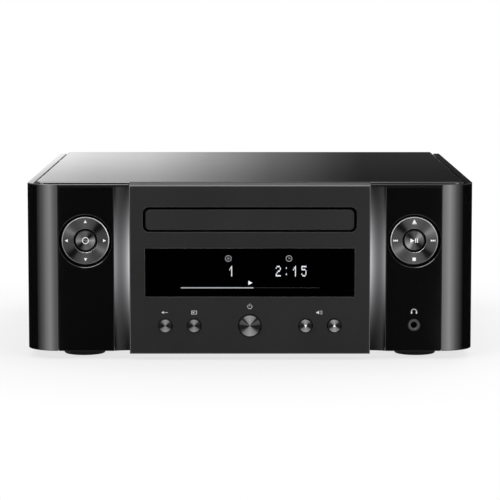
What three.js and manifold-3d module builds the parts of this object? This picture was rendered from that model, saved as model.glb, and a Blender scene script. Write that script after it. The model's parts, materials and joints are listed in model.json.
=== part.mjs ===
// Network CD receiver: a half-width case with a disc tray, a display, keys,
// an amplifier and sockets. Millimetres, +Z up, the front faces -Y, and the
// origin is on the ground in the middle of the receiver.

import * as THREE from 'three';
import { mergeVertices } from 'three/addons/utils/BufferGeometryUtils.js';
import Module from 'manifold-3d';

const wasm = await Module();
wasm.setup();

// Clearances
const seam = 0.3; // between pieces that rest on or beside each other
const running = 0.08; // around a shaft in its bore
const overrun = 1; // how far a cutting or joining shape passes the face that it meets
const weldDistance = 0.0001;

// Sides of round shapes
const sides = { nut: 6, pin: 12, key: 20, ring: 32, quarter: 6, lip: 3, gearFlank: 2 };

// Case
const shell = {
  height: 111,
  depth: 282,
  underside: 5.1,
  head: 14.1,
  wall: 4.5,
  cornerRadius: 19,
  cornerLand: 1.3,
  browHeight: 1.2,
  ledgeReach: 5,
  ledgeThickness: 2,
};
const cover = { rise: 1.2, thickness: 3, groove: 0.6 };
const chassis = {
  lift: 6.5,
  sheet: 1.2,
  sideFlange: 34,
  frontFlange: 6,
  bossRadius: 3,
  bossHeight: 5,
  ventWidth: 3,
  ventLength: 34,
  ventPitch: 9,
  ventCount: 9,
};
const foot = { radius: 13, lipRadius: 1.6, sideInset: 34.8, frontInset: 28.7, rearInset: 30 };

// Disc, and the tray that carries it
const disc = { radius: 60 };
const tray = {
  lead: 15.2,
  side: 4,
  seatClearance: 0.5,
  rim: 2,
  floorThickness: 2.5,
  smallSeatRadius: 40.5,
  smallSeatDepth: 1.2,
  slotWidth: 29,
  slotFront: 18,
  slotBack: 62,
  runnerWidth: 3.5,
  runnerHeight: 1.5,
  travel: 140,
  tail: 7,
};
const door = { overhang: 0.7, below: 5.1, height: 12.95, radius: 2.9 };
const slot = { sideGap: 1.6, lowerGap: 1.1, upperGap: 1.35, radius: 4, windowGap: 10.2 };

// Front
const panel = {
  bottom: 3.9,
  proud: 4,
  thickness: 3,
  sideMargin: 8.2,
  topChamfer: 2,
  edgeChamfer: 0.6,
  skirtInset: 5,
  skirtWall: 2,
  skirtRise: 1.5,
};
const cove = { show: 9.9, depth: 3.4 };
const insert = { width: 34.5 };
const guide = { width: 3.9, depth: 3.1, bottomGap: 14.9, topGap: 13.3 };
const subframe = { thickness: 3, sideGap: 11, bossRadius: 2.5, ringOpening: 17.5 };
const display = {
  sideMargin: 9.8,
  riseShare: 0.4725,
  windowThickness: 2.2,
  tubeSideMargin: 6.2,
  tubeMargin: 2.5,
  boardOverhang: 1.8,
};
const board = { thickness: 1.6 };

// Push keys of the centre panel
const key = {
  proud: 1.2,
  travel: 0.8,
  slack: 0.1,
  flange: 1.2,
  flangeThickness: 1,
  stemRadius: 2,
  edge: 0.5,
};
const powerKey = { radius: 6.9, groove: 0.5 };
const smallKey = { radius: 4.3, groove: 0.42 };
const keyRow = { riseShare: 0.233, sideInset: 22.25, pitch: 17.95 };
const keyBoard = { overhang: 11.25, height: 17 };

// Round four-way keys beside the panel
const pad = { drop: 33.9 };
const well = { rimRadius: 16.8, recess: 2.5, gap: 0.44 };
const ring = {
  outerRadius: 14.96,
  innerRadius: 7.4,
  edge: 0.9,
  bodyDepth: 4.4,
  flange: 1,
  flangeThickness: 1.5,
  lugWidth: 6,
  lugThickness: 1.8,
  tiltAxisDepth: 9.2,
};
const carrier = {
  outerRadius: 12,
  innerRadius: 9.4,
  thickness: 2.6,
  pinRadius: 1.1,
  pinReach: 2.3,
  axleReach: 8.4,
};
const axleBoss = { gap: 0.3, length: 4.2, width: 6, depth: 3.6 };
const centreKey = { radius: 6.4, capDepth: 2.6, stemRadius: 4, boardDepth: 14 };
const padBoard = { width: 44, height: 46, bossInset: 3 };
const jack = {
  rise: 16.5,
  ringRadius: 3.8,
  holeRadius: 2.05,
  proud: 0.2,
  bodyWidth: 12,
  bodyHeight: 10,
  boardDrop: 6,
};

// Disc loader
const rack = { module: 1, inset: 12.5, backing: 3, backlash: 0.16, rootShare: 1.25 };
const gear = {
  teeth: 20,
  depth: 22,
  thickness: 2.8,
  postRadius: 2.5,
  shoulderRadius: 4,
  pressureAngle: 20,
};
const loader = {
  front: 10,
  tail: 17,
  wall: 3,
  drop: 18,
  rise: 7.5,
  floorThickness: 2,
  guideReach: 4.5,
  guideThickness: 2,
  legWidth: 8,
  legInset: 12,
};
const motor = {
  radius: 11,
  height: 16,
  x: 8,
  depth: 26,
  shaftRadius: 1,
  pinionRadius: 3,
  pinionHeight: 4,
  holeRadius: 4,
};
const traverse = {
  width: 96,
  lead: 29,
  tail: 6,
  thickness: 2,
  drop: 9.1,
  postRadius: 2,
  shoulderRadius: 4,
  postInset: 6,
  lift: 6.5,
  motorRadius: 11,
  motorDepth: 5,
};
const platter = {
  radius: 13,
  thickness: 2.4,
  gap: 1.7,
  spindleRadius: 6.8,
  spindleTop: 2.2,
  spindleTopShare: 0.8,
  shaftRadius: 1.5,
  shaftFoot: 2,
};
const rod = { radius: 1.2, x: 14, lead: 4, hold: 2 };
const sled = {
  lead: 16,
  width: 36,
  length: 22,
  below: 1.7,
  above: 0.2,
  travel: 32,
  windowGap: 0.5,
  opticsWidth: 20,
  opticsInset: 4,
  opticsLength: 9,
  opticsHeight: 2.9,
  lensRadius: 3,
  lensHeight: 0.3,
};
const bridge = { depth: 44, thickness: 2, neckGap: 0.7 };
const clamp = { radius: 14, gap: 2.5, thickness: 2.2, neckRadius: 8.6, capRadius: 12, capThickness: 3 };

// Electronics on the chassis
const mainBoard = {
  front: 34,
  legGap: 3.8,
  socketGap: 0.8,
  wingLength: 42,
  wingGap: 15.5,
  chip: 24,
  chipHeight: 2.4,
  chipPitch: 48,
  canRadius: 6,
  canHeight: 16,
  canX: 33.6,
};
const powerBoard = {
  wallGap: 5.5,
  width: 56,
  front: 122,
  rearGap: 20,
  canRadius: 11,
  canHeight: 34,
  canPitch: 26,
  blockHeight: 22,
};
const transformer = {
  wallGap: 7.5,
  width: 52,
  front: 58,
  depth: 52,
  height: 44,
  coilInset: 7,
  coilOverhang: 3,
};
const sink = {
  wallGap: 7.5,
  width: 50,
  front: 60,
  boardGap: 14,
  height: 62,
  base: 5,
  fin: 1.6,
  finCount: 7,
};

// Sockets in the rear panel
const rear = { flange: 12 };
const inlet = {
  inset: 20.5,
  z: 30,
  width: 30,
  height: 20,
  flange: 1.6,
  bodyWidth: 22,
  bodyHeight: 14,
  depth: 18,
  mouthWidth: 14.2,
  mouthHeight: 8.4,
  mouthDepth: 11,
  pinRadius: 1.2,
  pinSpacing: 6.4,
  pinInset: 2,
};
const posts = {
  inletGap: 27,
  pitch: 19,
  groupGap: 23,
  z: 34,
  reach: 15.8,
  plateThickness: 1.6,
  plateMargin: 11,
  insideMargin: 2,
  insideDepth: 10,
  collarRadius: 7.2,
  collarThickness: 2,
  shaftRadius: 3,
  plugRadius: 2,
  plugDepth: 11,
  shaftShow: 1,
  nutRadius: 6.5,
  nutFlutes: 12,
  nutFluteDepth: 0.5,
};
const lineSockets = {
  postGap: 35,
  z: 26,
  columns: 3,
  rows: 2,
  pitch: 15,
  barrelRadius: 4.15,
  holeRadius: 1.7,
  length: 8.4,
  margin: 7.5,
  plateThickness: 1.6,
  insideDepth: 12,
};
const network = {
  lineGap: 62,
  z: 26,
  width: 17,
  height: 14.4,
  depth: 17,
  mouthWidth: 12,
  mouthHeight: 8.4,
  mouthDepth: 12,
};
const usb = {
  networkGap: 28,
  z: 24,
  width: 14.4,
  height: 7.2,
  depth: 15,
  mouthWidth: 12.6,
  mouthHeight: 5.2,
  tongue: 1.9,
};
const aerial = {
  x: 60,
  drop: 21.7,
  barrelRadius: 4.8,
  holeRadius: 1.4,
  reach: 9,
  washerRadius: 8,
  washer: 1.2,
  inside: 9,
};
const antenna = {
  inset: 12.5,
  drop: 9.7,
  bossRadius: 5.5,
  bossHeight: 3,
  pinRadius: 2.5,
  width: 10,
  thickness: 7,
  length: 50,
  tipWidthShare: 0.8,
};

// Widths that follow from the disc outward
const trayWidth = 2 * (disc.radius + tray.seatClearance + tray.side);
const doorWidth = trayWidth + 2 * door.overhang;
const slotWidth = doorWidth + 2 * slot.sideGap;
const panelWidth = slotWidth + 2 * panel.sideMargin;
const panelHalf = panelWidth / 2;
const outerKeyX = panelHalf - keyRow.sideInset;
const innerKeyX = outerKeyX - keyRow.pitch;
const insertInner = panelHalf + cove.show;
const insertOuter = insertInner + insert.width;
const padX = (insertInner + insertOuter) / 2;
const halfWidth = insertOuter + seam + shell.cornerLand + shell.cornerRadius;
const innerX = halfWidth - shell.wall;
const windowWidth = panelWidth - 2 * display.sideMargin;
const tubeWidth = windowWidth - 2 * display.tubeSideMargin;
const skirtX = panelHalf - panel.skirtInset;
const loaderInner = trayWidth / 2 + seam;
const loaderOuter = loaderInner + loader.wall;
const rackLineX = trayWidth / 2 - rack.inset;

// Heights that follow from the overall height and the ground
const baseTop = chassis.lift + chassis.sheet;
const boardZ = baseTop + chassis.bossHeight + seam;
const topZ = shell.height;
const rimZ = topZ - cover.rise;
const slotTop = rimZ - shell.head;
const doorBottom = slotTop - slot.upperGap - door.height;
const slotBottom = doorBottom - slot.lowerGap;
const floorTop = doorBottom + door.below;
const belowSlot = slotBottom - panel.bottom;
const displayZ = [panel.bottom + display.riseShare * belowSlot, slotBottom - slot.windowGap];
const keyZ = panel.bottom + keyRow.riseShare * belowSlot;
const coverUnderside = topZ - cover.thickness;
const seatZ = coverUnderside - seam;
const browZ = rimZ - shell.browHeight;
const frontTopZ = browZ - seam;
const padZ = frontTopZ - pad.drop;
const jackZ = shell.underside + jack.rise;
const trayTop = floorTop + tray.rim;
const trayUnderside = floorTop - tray.floorThickness;
const loaderFloor = trayUnderside - loader.drop;
const loaderTop = trayTop + loader.rise;
const gearBottom = slotBottom + seam;
const traverseZ = [trayUnderside - traverse.drop, trayUnderside - traverse.drop + traverse.thickness];
const platterZ = traverseZ[1] + platter.gap;
const sledZ = [traverseZ[0] - sled.below, traverseZ[1] + sled.above];
const rodZ = (sledZ[0] + sledZ[1]) / 2;
const clampZ = trayTop + clamp.gap;

// Depths that follow from the front to the back
const overallDepth = key.proud + panel.proud + shell.depth + posts.reach;
const frontY = key.proud + panel.proud - overallDepth / 2;
const rearY = frontY + shell.depth;
const rearInside = rearY - chassis.sheet;
const panelBack = panel.thickness - panel.proud;
const frameDepth = shell.wall + seam;
const frameBackDepth = frameDepth + subframe.thickness;
const trayFront = panelBack + seam;
const trayLength = gear.depth + tray.travel + tray.tail;
const discDepth = trayFront + tray.lead + tray.seatClearance + disc.radius;
const discY = frontY + discDepth;
const sledDepth = discDepth + sled.lead;
const rodDepths = [sledDepth - rod.lead, sledDepth + sled.length + sled.travel + rod.lead];
const loaderDepths = [loader.front, trayLength + loader.tail];
const mainBoardBack = shell.depth - chassis.sheet - lineSockets.insideDepth - mainBoard.socketGap;
const wingFront = mainBoardBack - mainBoard.wingLength;

// Places across the rear
const inletX = inlet.inset - innerX;
const firstPostX = inletX + posts.inletGap;
const postPlaces = [0, posts.pitch, posts.pitch + posts.groupGap, 2 * posts.pitch + posts.groupGap].map(
  (offset) => firstPostX + offset,
);
const lineX = Math.max(...postPlaces) + lineSockets.postGap;
const networkX = lineX + network.lineGap;
const usbX = networkX + usb.networkGap;
const aerialZ = seatZ - aerial.drop;
const antennaX = innerX - antenna.inset;
const antennaZ = seatZ - antenna.drop;

// Depth behind the side fronts, as a place along Y
const behind = (distance) => frontY + distance;

// Low and high end of a stretch on one side, -1 for left and 1 for right
const span = (side, near, far) => (side > 0 ? [near, far] : [-far, -near]);

// Stretch around a middle
const around = (middle, size) => [middle - size / 2, middle + size / 2];

// Closed solids from geometry

function solidOf(geometry) {
  geometry.deleteAttribute('normal');
  geometry.deleteAttribute('uv');
  const welded = mergeVertices(geometry, weldDistance);
  const vertProperties = Float32Array.from(welded.attributes.position.array);
  const triVerts = Uint32Array.from(welded.index.array);
  return new wasm.Manifold(new wasm.Mesh({ numProp: 3, vertProperties, triVerts }));
}

function geometryOf(solid) {
  const mesh = solid.getMesh();
  const geometry = new THREE.BufferGeometry();
  geometry.setAttribute('position', new THREE.BufferAttribute(Float32Array.from(mesh.vertProperties), 3));
  geometry.setIndex(new THREE.BufferAttribute(Uint32Array.from(mesh.triVerts), 1));
  geometry.computeVertexNormals();
  return geometry;
}

const join = (first, ...others) => others.reduce((whole, next) => whole.add(next), first);
const cut = (first, ...tools) => tools.reduce((whole, next) => whole.subtract(next), first);

function block(x, y, z) {
  const geometry = new THREE.BoxGeometry(x[1] - x[0], y[1] - y[0], z[1] - z[0]);
  geometry.translate((x[0] + x[1]) / 2, (y[0] + y[1]) / 2, (z[0] + z[1]) / 2);
  return solidOf(geometry);
}

function extruded(outline, length) {
  const shape = outline instanceof THREE.Shape ? outline : new THREE.Shape(outline);
  const curveSegments = sides.quarter;
  return new THREE.ExtrudeGeometry(shape, { depth: length, bevelEnabled: false, curveSegments });
}

// Outline in X and Y, from one height to another
function uprightPrism(outline, z) {
  const geometry = extruded(outline, z[1] - z[0]);
  geometry.translate(0, 0, z[0]);
  return solidOf(geometry);
}

// Outline in X and Z, from one depth to another
function frontPrism(outline, y) {
  const geometry = extruded(outline, y[1] - y[0]);
  geometry.rotateX(Math.PI / 2);
  geometry.translate(0, y[1], 0);
  return solidOf(geometry);
}

// Outline in Y and Z, from one side to another
function sidePrism(outline, x) {
  const geometry = extruded(outline, x[1] - x[0]);
  const xAxis = new THREE.Vector3(1, 0, 0);
  const yAxis = new THREE.Vector3(0, 1, 0);
  const zAxis = new THREE.Vector3(0, 0, 1);
  geometry.applyMatrix4(new THREE.Matrix4().makeBasis(yAxis, zAxis, xAxis));
  geometry.translate(x[0], 0, 0);
  return solidOf(geometry);
}

const outlineOf = (points) => points.map(([x, y]) => new THREE.Vector2(x, y));

function roundedRectangle(x, z, radius) {
  const shape = new THREE.Shape();
  shape.absarc(x[1] - radius, z[0] + radius, radius, -Math.PI / 2, 0, false);
  shape.absarc(x[1] - radius, z[1] - radius, radius, 0, Math.PI / 2, false);
  shape.absarc(x[0] + radius, z[1] - radius, radius, Math.PI / 2, Math.PI, false);
  shape.absarc(x[0] + radius, z[0] + radius, radius, Math.PI, Math.PI * 1.5, false);
  return shape;
}

// Turned piece along Y: each profile point is a radius and a place along Y
function turnedAlongY(profile, x, z, count) {
  const geometry = new THREE.LatheGeometry(outlineOf(profile), count);
  geometry.translate(x, 0, z);
  return solidOf(geometry);
}

// Turned piece along Z: each profile point is a radius and a height
function turnedAlongZ(profile, x, y, count) {
  const geometry = new THREE.LatheGeometry(outlineOf(profile), count);
  geometry.rotateX(Math.PI / 2);
  geometry.translate(x, y, 0);
  return solidOf(geometry);
}

const rodProfile = (radius, ends) => [[0, ends[0]], [radius, ends[0]], [radius, ends[1]], [0, ends[1]]];
const rodAlongY = (radius, y, x, z, count) => turnedAlongY(rodProfile(radius, y), x, z, count);
const rodAlongZ = (radius, z, x, y, count) => turnedAlongZ(rodProfile(radius, z), x, y, count);

// Radius of a bore whose flat sides clear a shaft
const boreRadius = (radius) => (radius + running) / Math.cos(Math.PI / sides.pin);

function rodAlongX(radius, x, y, z, count) {
  const geometry = new THREE.CylinderGeometry(radius, radius, x[1] - x[0], count);
  geometry.rotateZ(Math.PI / 2);
  geometry.translate((x[0] + x[1]) / 2, y, z);
  return solidOf(geometry);
}

// Scene

const receiver = new THREE.Group();

const finishes = {
  glossBlack: { color: 0x0a0a0b, roughness: 0.12, metalness: 0 },
  satinBlack: { color: 0x2f3032, roughness: 0.45, metalness: 0.2 },
  coveMetal: { color: 0x6a6c70, roughness: 0.35, metalness: 0.9 },
  keyMetal: { color: 0x55575a, roughness: 0.3, metalness: 0.9 },
  window: { color: 0x020203, roughness: 0.06, metalness: 0 },
  steel: { color: 0x8c9094, roughness: 0.4, metalness: 1 },
  blackSteel: { color: 0x1a1a1c, roughness: 0.5, metalness: 0.3 },
  mouldedBlack: { color: 0x17181a, roughness: 0.6, metalness: 0 },
  rubber: { color: 0x222224, roughness: 0.85, metalness: 0 },
  clear: { color: 0xd8dde2, roughness: 0.2, metalness: 0 },
  circuit: { color: 0x1e5a34, roughness: 0.55, metalness: 0 },
  aluminium: { color: 0xa5a8ac, roughness: 0.4, metalness: 1 },
  nickel: { color: 0xb9b6ae, roughness: 0.3, metalness: 1 },
  brass: { color: 0xb59a54, roughness: 0.3, metalness: 1 },
  ivory: { color: 0xc9c8c2, roughness: 0.5, metalness: 0 },
};

function place(name, solid, finish) {
  const mesh = new THREE.Mesh(geometryOf(solid), new THREE.MeshStandardMaterial(finishes[finish]));
  mesh.name = name;
  receiver.add(mesh);
}

const pair = [
  { side: -1, word: 'left' },
  { side: 1, word: 'right' },
];

// Case

// Round front corner of the case in plan, moved inward by an inset
function cornerPoints(inset) {
  const radius = shell.cornerRadius - inset;
  const points = [];
  for (let step = 0; step <= sides.quarter; step += 1) {
    const angle = (-Math.PI / 2) * (step / sides.quarter);
    const x = halfWidth - shell.cornerRadius + radius * Math.cos(angle);
    const y = frontY + shell.cornerRadius + radius * Math.sin(angle);
    points.push([x, y]);
  }
  return points;
}

function sidePanel(side) {
  const returnX = insertOuter + seam;
  const points = [
    [halfWidth, rearY],
    ...cornerPoints(0),
    [returnX, frontY],
    [returnX, behind(shell.wall)],
    ...cornerPoints(shell.wall).reverse(),
    [innerX, rearY],
  ];
  const outline = outlineOf(points.map(([x, y]) => [side * x, y]));
  const wall = uprightPrism(outline, [shell.underside, rimZ]);
  const browX = span(side, panelHalf + seam, halfWidth - shell.cornerRadius);
  const brow = block(browX, [frontY, behind(shell.wall)], [browZ, rimZ]);
  const ledgeX = span(side, innerX - shell.ledgeReach, innerX + shell.wall / 2);
  const ledgeY = [behind(shell.cornerRadius), rearInside - seam];
  const ledge = block(ledgeX, ledgeY, [seatZ - shell.ledgeThickness, seatZ]);
  return join(wall, brow, ledge);
}

// Outline of the whole case in plan, moved inward by an inset at the sides and front
function planOutline(inset) {
  const rightSide = cornerPoints(inset);
  const leftSide = rightSide.map(([x, y]) => [-x, y]).reverse();
  const edgeX = halfWidth - inset;
  return outlineOf([[edgeX, rearY], ...rightSide, ...leftSide, [-edgeX, rearY]]);
}

function topPlate() {
  return uprightPrism(planOutline(shell.wall + cover.groove), [coverUnderside, topZ]);
}

// Places of the short posts that carry the two flat boards
function boardPosts() {
  const inset = chassis.bossRadius * 2;
  const corners = ({ x, y }) => [
    [x[0] + inset, y[0] + inset],
    [x[1] - inset, y[0] + inset],
    [x[0] + inset, y[1] - inset],
    [x[1] - inset, y[1] - inset],
  ];
  return [...corners(mainBoardArea()), ...corners(powerBoardArea())];
}

function bottomChassis() {
  const edgeX = innerX - seam;
  const front = behind(frameBackDepth + seam);
  const back = rearInside - seam;
  const z = [chassis.lift, baseTop];
  const rounded = uprightPrism(planOutline(shell.wall + seam), z);
  let body = rounded.intersect(block([-edgeX, edgeX], [front, back], z));
  const flangeX = (side) => span(side, edgeX - chassis.sheet, edgeX);
  const flangeFront = behind(shell.cornerRadius);
  for (const { side } of pair) {
    body = join(body, block(flangeX(side), [flangeFront, back], [z[0], z[1] + chassis.sideFlange]));
  }
  const lipX = halfWidth - subframe.sideGap;
  const lipY = [front, front + chassis.sheet];
  body = join(body, block([-lipX, lipX], lipY, [z[0], z[1] + chassis.frontFlange]));
  for (const [x, y] of boardPosts()) {
    const height = [z[0] + chassis.sheet / 2, z[1] + chassis.bossHeight];
    body = join(body, rodAlongZ(chassis.bossRadius, height, x, y, sides.pin));
  }
  const sinkArea = heatSinkArea();
  const ventX = around((sinkArea.x[0] + sinkArea.x[1]) / 2, chassis.ventLength);
  const ventRow = (chassis.ventCount - 1) * chassis.ventPitch;
  const ventStart = (sinkArea.y[0] + sinkArea.y[1] - ventRow) / 2;
  for (let index = 0; index < chassis.ventCount; index += 1) {
    const y = around(ventStart + index * chassis.ventPitch, chassis.ventWidth);
    body = cut(body, block(ventX, y, [z[0] - overrun, z[1] + overrun]));
  }
  return body;
}

function footAt(x, y) {
  const top = chassis.lift - seam;
  const lip = foot.lipRadius;
  const profile = [[0, 0]];
  for (let step = 0; step <= sides.lip; step += 1) {
    const angle = (Math.PI / 2) * (step / sides.lip);
    profile.push([foot.radius - lip + lip * Math.sin(angle), lip - lip * Math.cos(angle)]);
  }
  profile.push([foot.radius, top], [0, top]);
  return turnedAlongZ(profile, x, y, sides.key);
}

// Front

function centrePanel() {
  const bevel = panel.edgeChamfer;
  const front = behind(-panel.proud);
  const back = behind(panelBack);
  const faceZ = [panel.bottom, topZ];
  const plate = block([-panelHalf, panelHalf], [front, back], faceZ);
  const shelfBack = behind(shell.wall + cover.groove - seam);
  const shelf = block([-panelHalf, panelHalf], [front, shelfBack], [browZ, topZ]);
  const skirtZ = [panel.bottom + panel.skirtRise, seatZ];
  const skirtY = [back - panel.thickness / 2, behind(shell.wall)];
  const outer = block([-skirtX, skirtX], skirtY, skirtZ);
  const hollowX = skirtX - panel.skirtWall;
  const hollowZ = [skirtZ[0] + panel.skirtWall, skirtZ[1] - panel.skirtWall];
  const hollow = block([-hollowX, hollowX], [back, skirtY[1] + overrun], hollowZ);
  let body = join(plate, shelf, cut(outer, hollow));

  const topEdge = outlineOf([
    [front - overrun, topZ - panel.topChamfer - overrun],
    [front + panel.topChamfer + overrun, topZ + overrun],
    [front - overrun, topZ + overrun],
  ]);
  const bottomEdge = outlineOf([
    [front - overrun, panel.bottom + bevel + overrun],
    [front - overrun, panel.bottom - overrun],
    [front + bevel + overrun, panel.bottom - overrun],
  ]);
  const wide = [-panelHalf - overrun, panelHalf + overrun];
  body = cut(body, sidePrism(topEdge, wide), sidePrism(bottomEdge, wide));
  for (const { side } of pair) {
    const sideEdge = outlineOf([
      [side * (panelHalf - bevel - overrun), front - overrun],
      [side * (panelHalf + overrun), front - overrun],
      [side * (panelHalf + overrun), front + bevel + overrun],
    ]);
    body = cut(body, uprightPrism(sideEdge, [panel.bottom - overrun, topZ + overrun]));
  }

  const through = [front - overrun, back + overrun];
  const slotShape = roundedRectangle(around(0, slotWidth), [slotBottom, slotTop], slot.radius);
  body = cut(body, frontPrism(slotShape, through));
  const windowZ = [displayZ[0] - seam, displayZ[1] + seam];
  const windowX = around(0, windowWidth + 2 * seam);
  body = cut(body, block(windowX, [through[0], front + display.windowThickness + seam], windowZ));
  const lightX = around(0, tubeWidth + 2 * seam);
  const lightZ = [displayZ[0] + display.tubeMargin - seam, displayZ[1] - display.tubeMargin + seam];
  body = cut(body, block(lightX, through, lightZ));
  for (const { x, size } of keyPlaces()) {
    body = cut(body, rodAlongY(size.radius + size.groove, through, x, keyZ, sides.key));
  }
  return body;
}

// The five keys of the centre panel
function keyPlaces() {
  return [
    { name: 'back_button', x: -outerKeyX, size: smallKey },
    { name: 'input_button', x: -innerKeyX, size: smallKey },
    { name: 'power_button', x: 0, size: powerKey },
    { name: 'volume_down_button', x: innerKeyX, size: smallKey },
    { name: 'volume_up_button', x: outerKeyX, size: smallKey },
  ];
}

function pushKey(x, size) {
  const face = behind(-panel.proud - key.proud);
  const flangeFront = behind(panelBack + seam);
  const flangeBack = flangeFront + key.flangeThickness;
  const boardFront = behind(shell.wall - board.thickness);
  const stemEnd = boardFront - key.travel - key.slack;
  const flangeRadius = size.radius + key.flange;
  const profile = [
    [0, face],
    [size.radius - key.edge, face],
    [size.radius, face + key.edge],
    [size.radius, flangeFront],
    [flangeRadius, flangeFront],
    [flangeRadius, flangeBack],
    [key.stemRadius, flangeBack],
    [key.stemRadius, stemEnd],
    [0, stemEnd],
  ];
  return turnedAlongY(profile, x, keyZ, sides.key);
}

function centreKeyBoard() {
  const y = [behind(shell.wall - board.thickness), behind(shell.wall)];
  return block(around(0, 2 * (outerKeyX + keyBoard.overhang)), y, around(keyZ, keyBoard.height));
}

function displayWindow() {
  const front = behind(-panel.proud);
  return block(around(0, windowWidth), [front, front + display.windowThickness], displayZ);
}

function displayModule() {
  const front = behind(-panel.proud) + display.windowThickness + seam;
  const boardY = [behind(shell.wall - board.thickness), behind(shell.wall)];
  const tubeZ = [displayZ[0] + display.tubeMargin, displayZ[1] - display.tubeMargin];
  const tube = block(around(0, tubeWidth), [front, boardY[0] + board.thickness / 2], tubeZ);
  const overhang = display.boardOverhang;
  const boardX = around(0, tubeWidth + 2 * overhang);
  return join(tube, block(boardX, boardY, [displayZ[0] - overhang, displayZ[1] + overhang]));
}

function fasciaInsert(side) {
  const y = [frontY, behind(shell.wall)];
  let body = block(span(side, insertInner, insertOuter), y, [shell.underside, frontTopZ]);
  const floorRadius = ring.outerRadius + well.gap;
  const wellProfile = [
    [0, frontY - overrun],
    [well.rimRadius, frontY - overrun],
    [well.rimRadius, frontY],
    [floorRadius, behind(well.recess)],
    [floorRadius, y[1] + overrun],
    [0, y[1] + overrun],
  ];
  body = cut(body, turnedAlongY(wellProfile, side * padX, padZ, sides.ring));
  if (side > 0) {
    const holeY = [y[0] - overrun, y[1] + overrun];
    body = cut(body, rodAlongY(jack.ringRadius + seam, holeY, padX, jackZ, sides.pin));
  }
  return body;
}

// Hollow strip that runs from the insert to behind the centre panel
function coveStrip(side) {
  const outer = insertInner - seam;
  const inner = skirtX + seam;
  const reach = outer - inner;
  const points = [];
  for (let step = 0; step <= sides.quarter; step += 1) {
    const angle = (Math.PI / 2) * (step / sides.quarter);
    points.push([side * (outer - reach * (1 - Math.cos(angle))), behind(cove.depth * Math.sin(angle))]);
  }
  points.push([side * inner, behind(shell.wall)], [side * outer, behind(shell.wall)]);
  return uprightPrism(outlineOf(points), [shell.underside, frontTopZ]);
}

function lightGuide(side) {
  const near = skirtX + seam;
  const front = behind(panelBack + seam);
  const z = [shell.underside + guide.bottomGap, frontTopZ - guide.topGap];
  return block(span(side, near, near + guide.width), [front, front + guide.depth], z);
}

// Posts on the back of the subframe that carry a pad board
function padBoardPosts(side) {
  const x = around(side * padX, padBoard.width - 2 * padBoard.bossInset);
  const z = around(padZ, padBoard.height - 2 * padBoard.bossInset);
  return [[x[0], z[0]], [x[1], z[0]], [x[0], z[1]], [x[1], z[1]]];
}

function frontSubframe() {
  const y = [behind(frameDepth), behind(frameBackDepth)];
  const axisY = behind(ring.tiltAxisDepth);
  const bottom = chassis.lift + seam;
  const rounded = uprightPrism(planOutline(shell.wall + seam), [bottom, seatZ]);
  const edgeX = halfWidth - subframe.sideGap;
  let body = rounded.intersect(block([-edgeX, edgeX], y, [bottom, seatZ]));
  const through = [y[0] - overrun, y[1] + overrun];
  body = cut(body, block(around(0, slotWidth), through, [gearBottom - seam, slotTop]));
  const bossY = [y[1] - subframe.thickness / 2, y[1] + axleBoss.depth];
  const bossInner = subframe.ringOpening + axleBoss.gap;
  for (const { side } of pair) {
    body = cut(body, rodAlongY(subframe.ringOpening, through, side * padX, padZ, sides.ring));
    for (const hand of [-1, 1]) {
      const x = span(hand, bossInner, bossInner + axleBoss.length).map((value) => side * padX + value);
      const holeX = [x[0] - overrun, x[1] + overrun];
      const hole = rodAlongX(boreRadius(carrier.pinRadius), holeX, axisY, padZ, sides.pin);
      body = join(body, cut(block(x, bossY, around(padZ, axleBoss.width)), hole));
    }
    const bossEnd = behind(centreKey.boardDepth) - seam;
    for (const [x, z] of padBoardPosts(side)) {
      const postY = [y[1] - subframe.thickness / 2, bossEnd];
      body = join(body, rodAlongY(subframe.bossRadius, postY, x, z, sides.pin));
    }
  }
  return cut(body, rodAlongY(jack.ringRadius + seam, through, padX, jackZ, sides.pin));
}

function padBoardPlate(side) {
  const y = [behind(centreKey.boardDepth), behind(centreKey.boardDepth) + board.thickness];
  const z = around(padZ, padBoard.height);
  const bottom = side > 0 ? jackZ - jack.boardDrop : z[0];
  return block(around(side * padX, padBoard.width), y, [bottom, z[1]]);
}

// Round four-way keys

function padRing(side) {
  const face = behind(well.recess);
  const bodyBack = face + ring.bodyDepth;
  const flangeFront = bodyBack - ring.flangeThickness;
  const flangeRadius = ring.outerRadius + ring.flange;
  const profile = [
    [ring.innerRadius, face],
    [ring.outerRadius - ring.edge, face],
    [ring.outerRadius, face + ring.edge],
    [ring.outerRadius, flangeFront],
    [flangeRadius, flangeFront],
    [flangeRadius, bodyBack],
    [ring.innerRadius, bodyBack],
    [ring.innerRadius, face],
  ];
  let body = turnedAlongY(profile, side * padX, padZ, sides.ring);
  const axisY = behind(ring.tiltAxisDepth);
  const lugBack = axisY + carrier.thickness;
  const lugX = around(side * padX, ring.lugWidth);
  for (const hand of [-1, 1]) {
    const reach = span(hand, carrier.outerRadius + seam, carrier.outerRadius + seam + ring.lugThickness);
    const lugZ = reach.map((value) => padZ + value);
    const holeZ = [lugZ[0] - overrun, lugZ[1] + overrun];
    const lug = block(lugX, [bodyBack - ring.flangeThickness / 2, lugBack], lugZ);
    const hole = rodAlongZ(boreRadius(carrier.pinRadius), holeZ, side * padX, axisY, sides.pin);
    body = join(body, cut(lug, hole));
  }
  return body;
}

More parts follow.
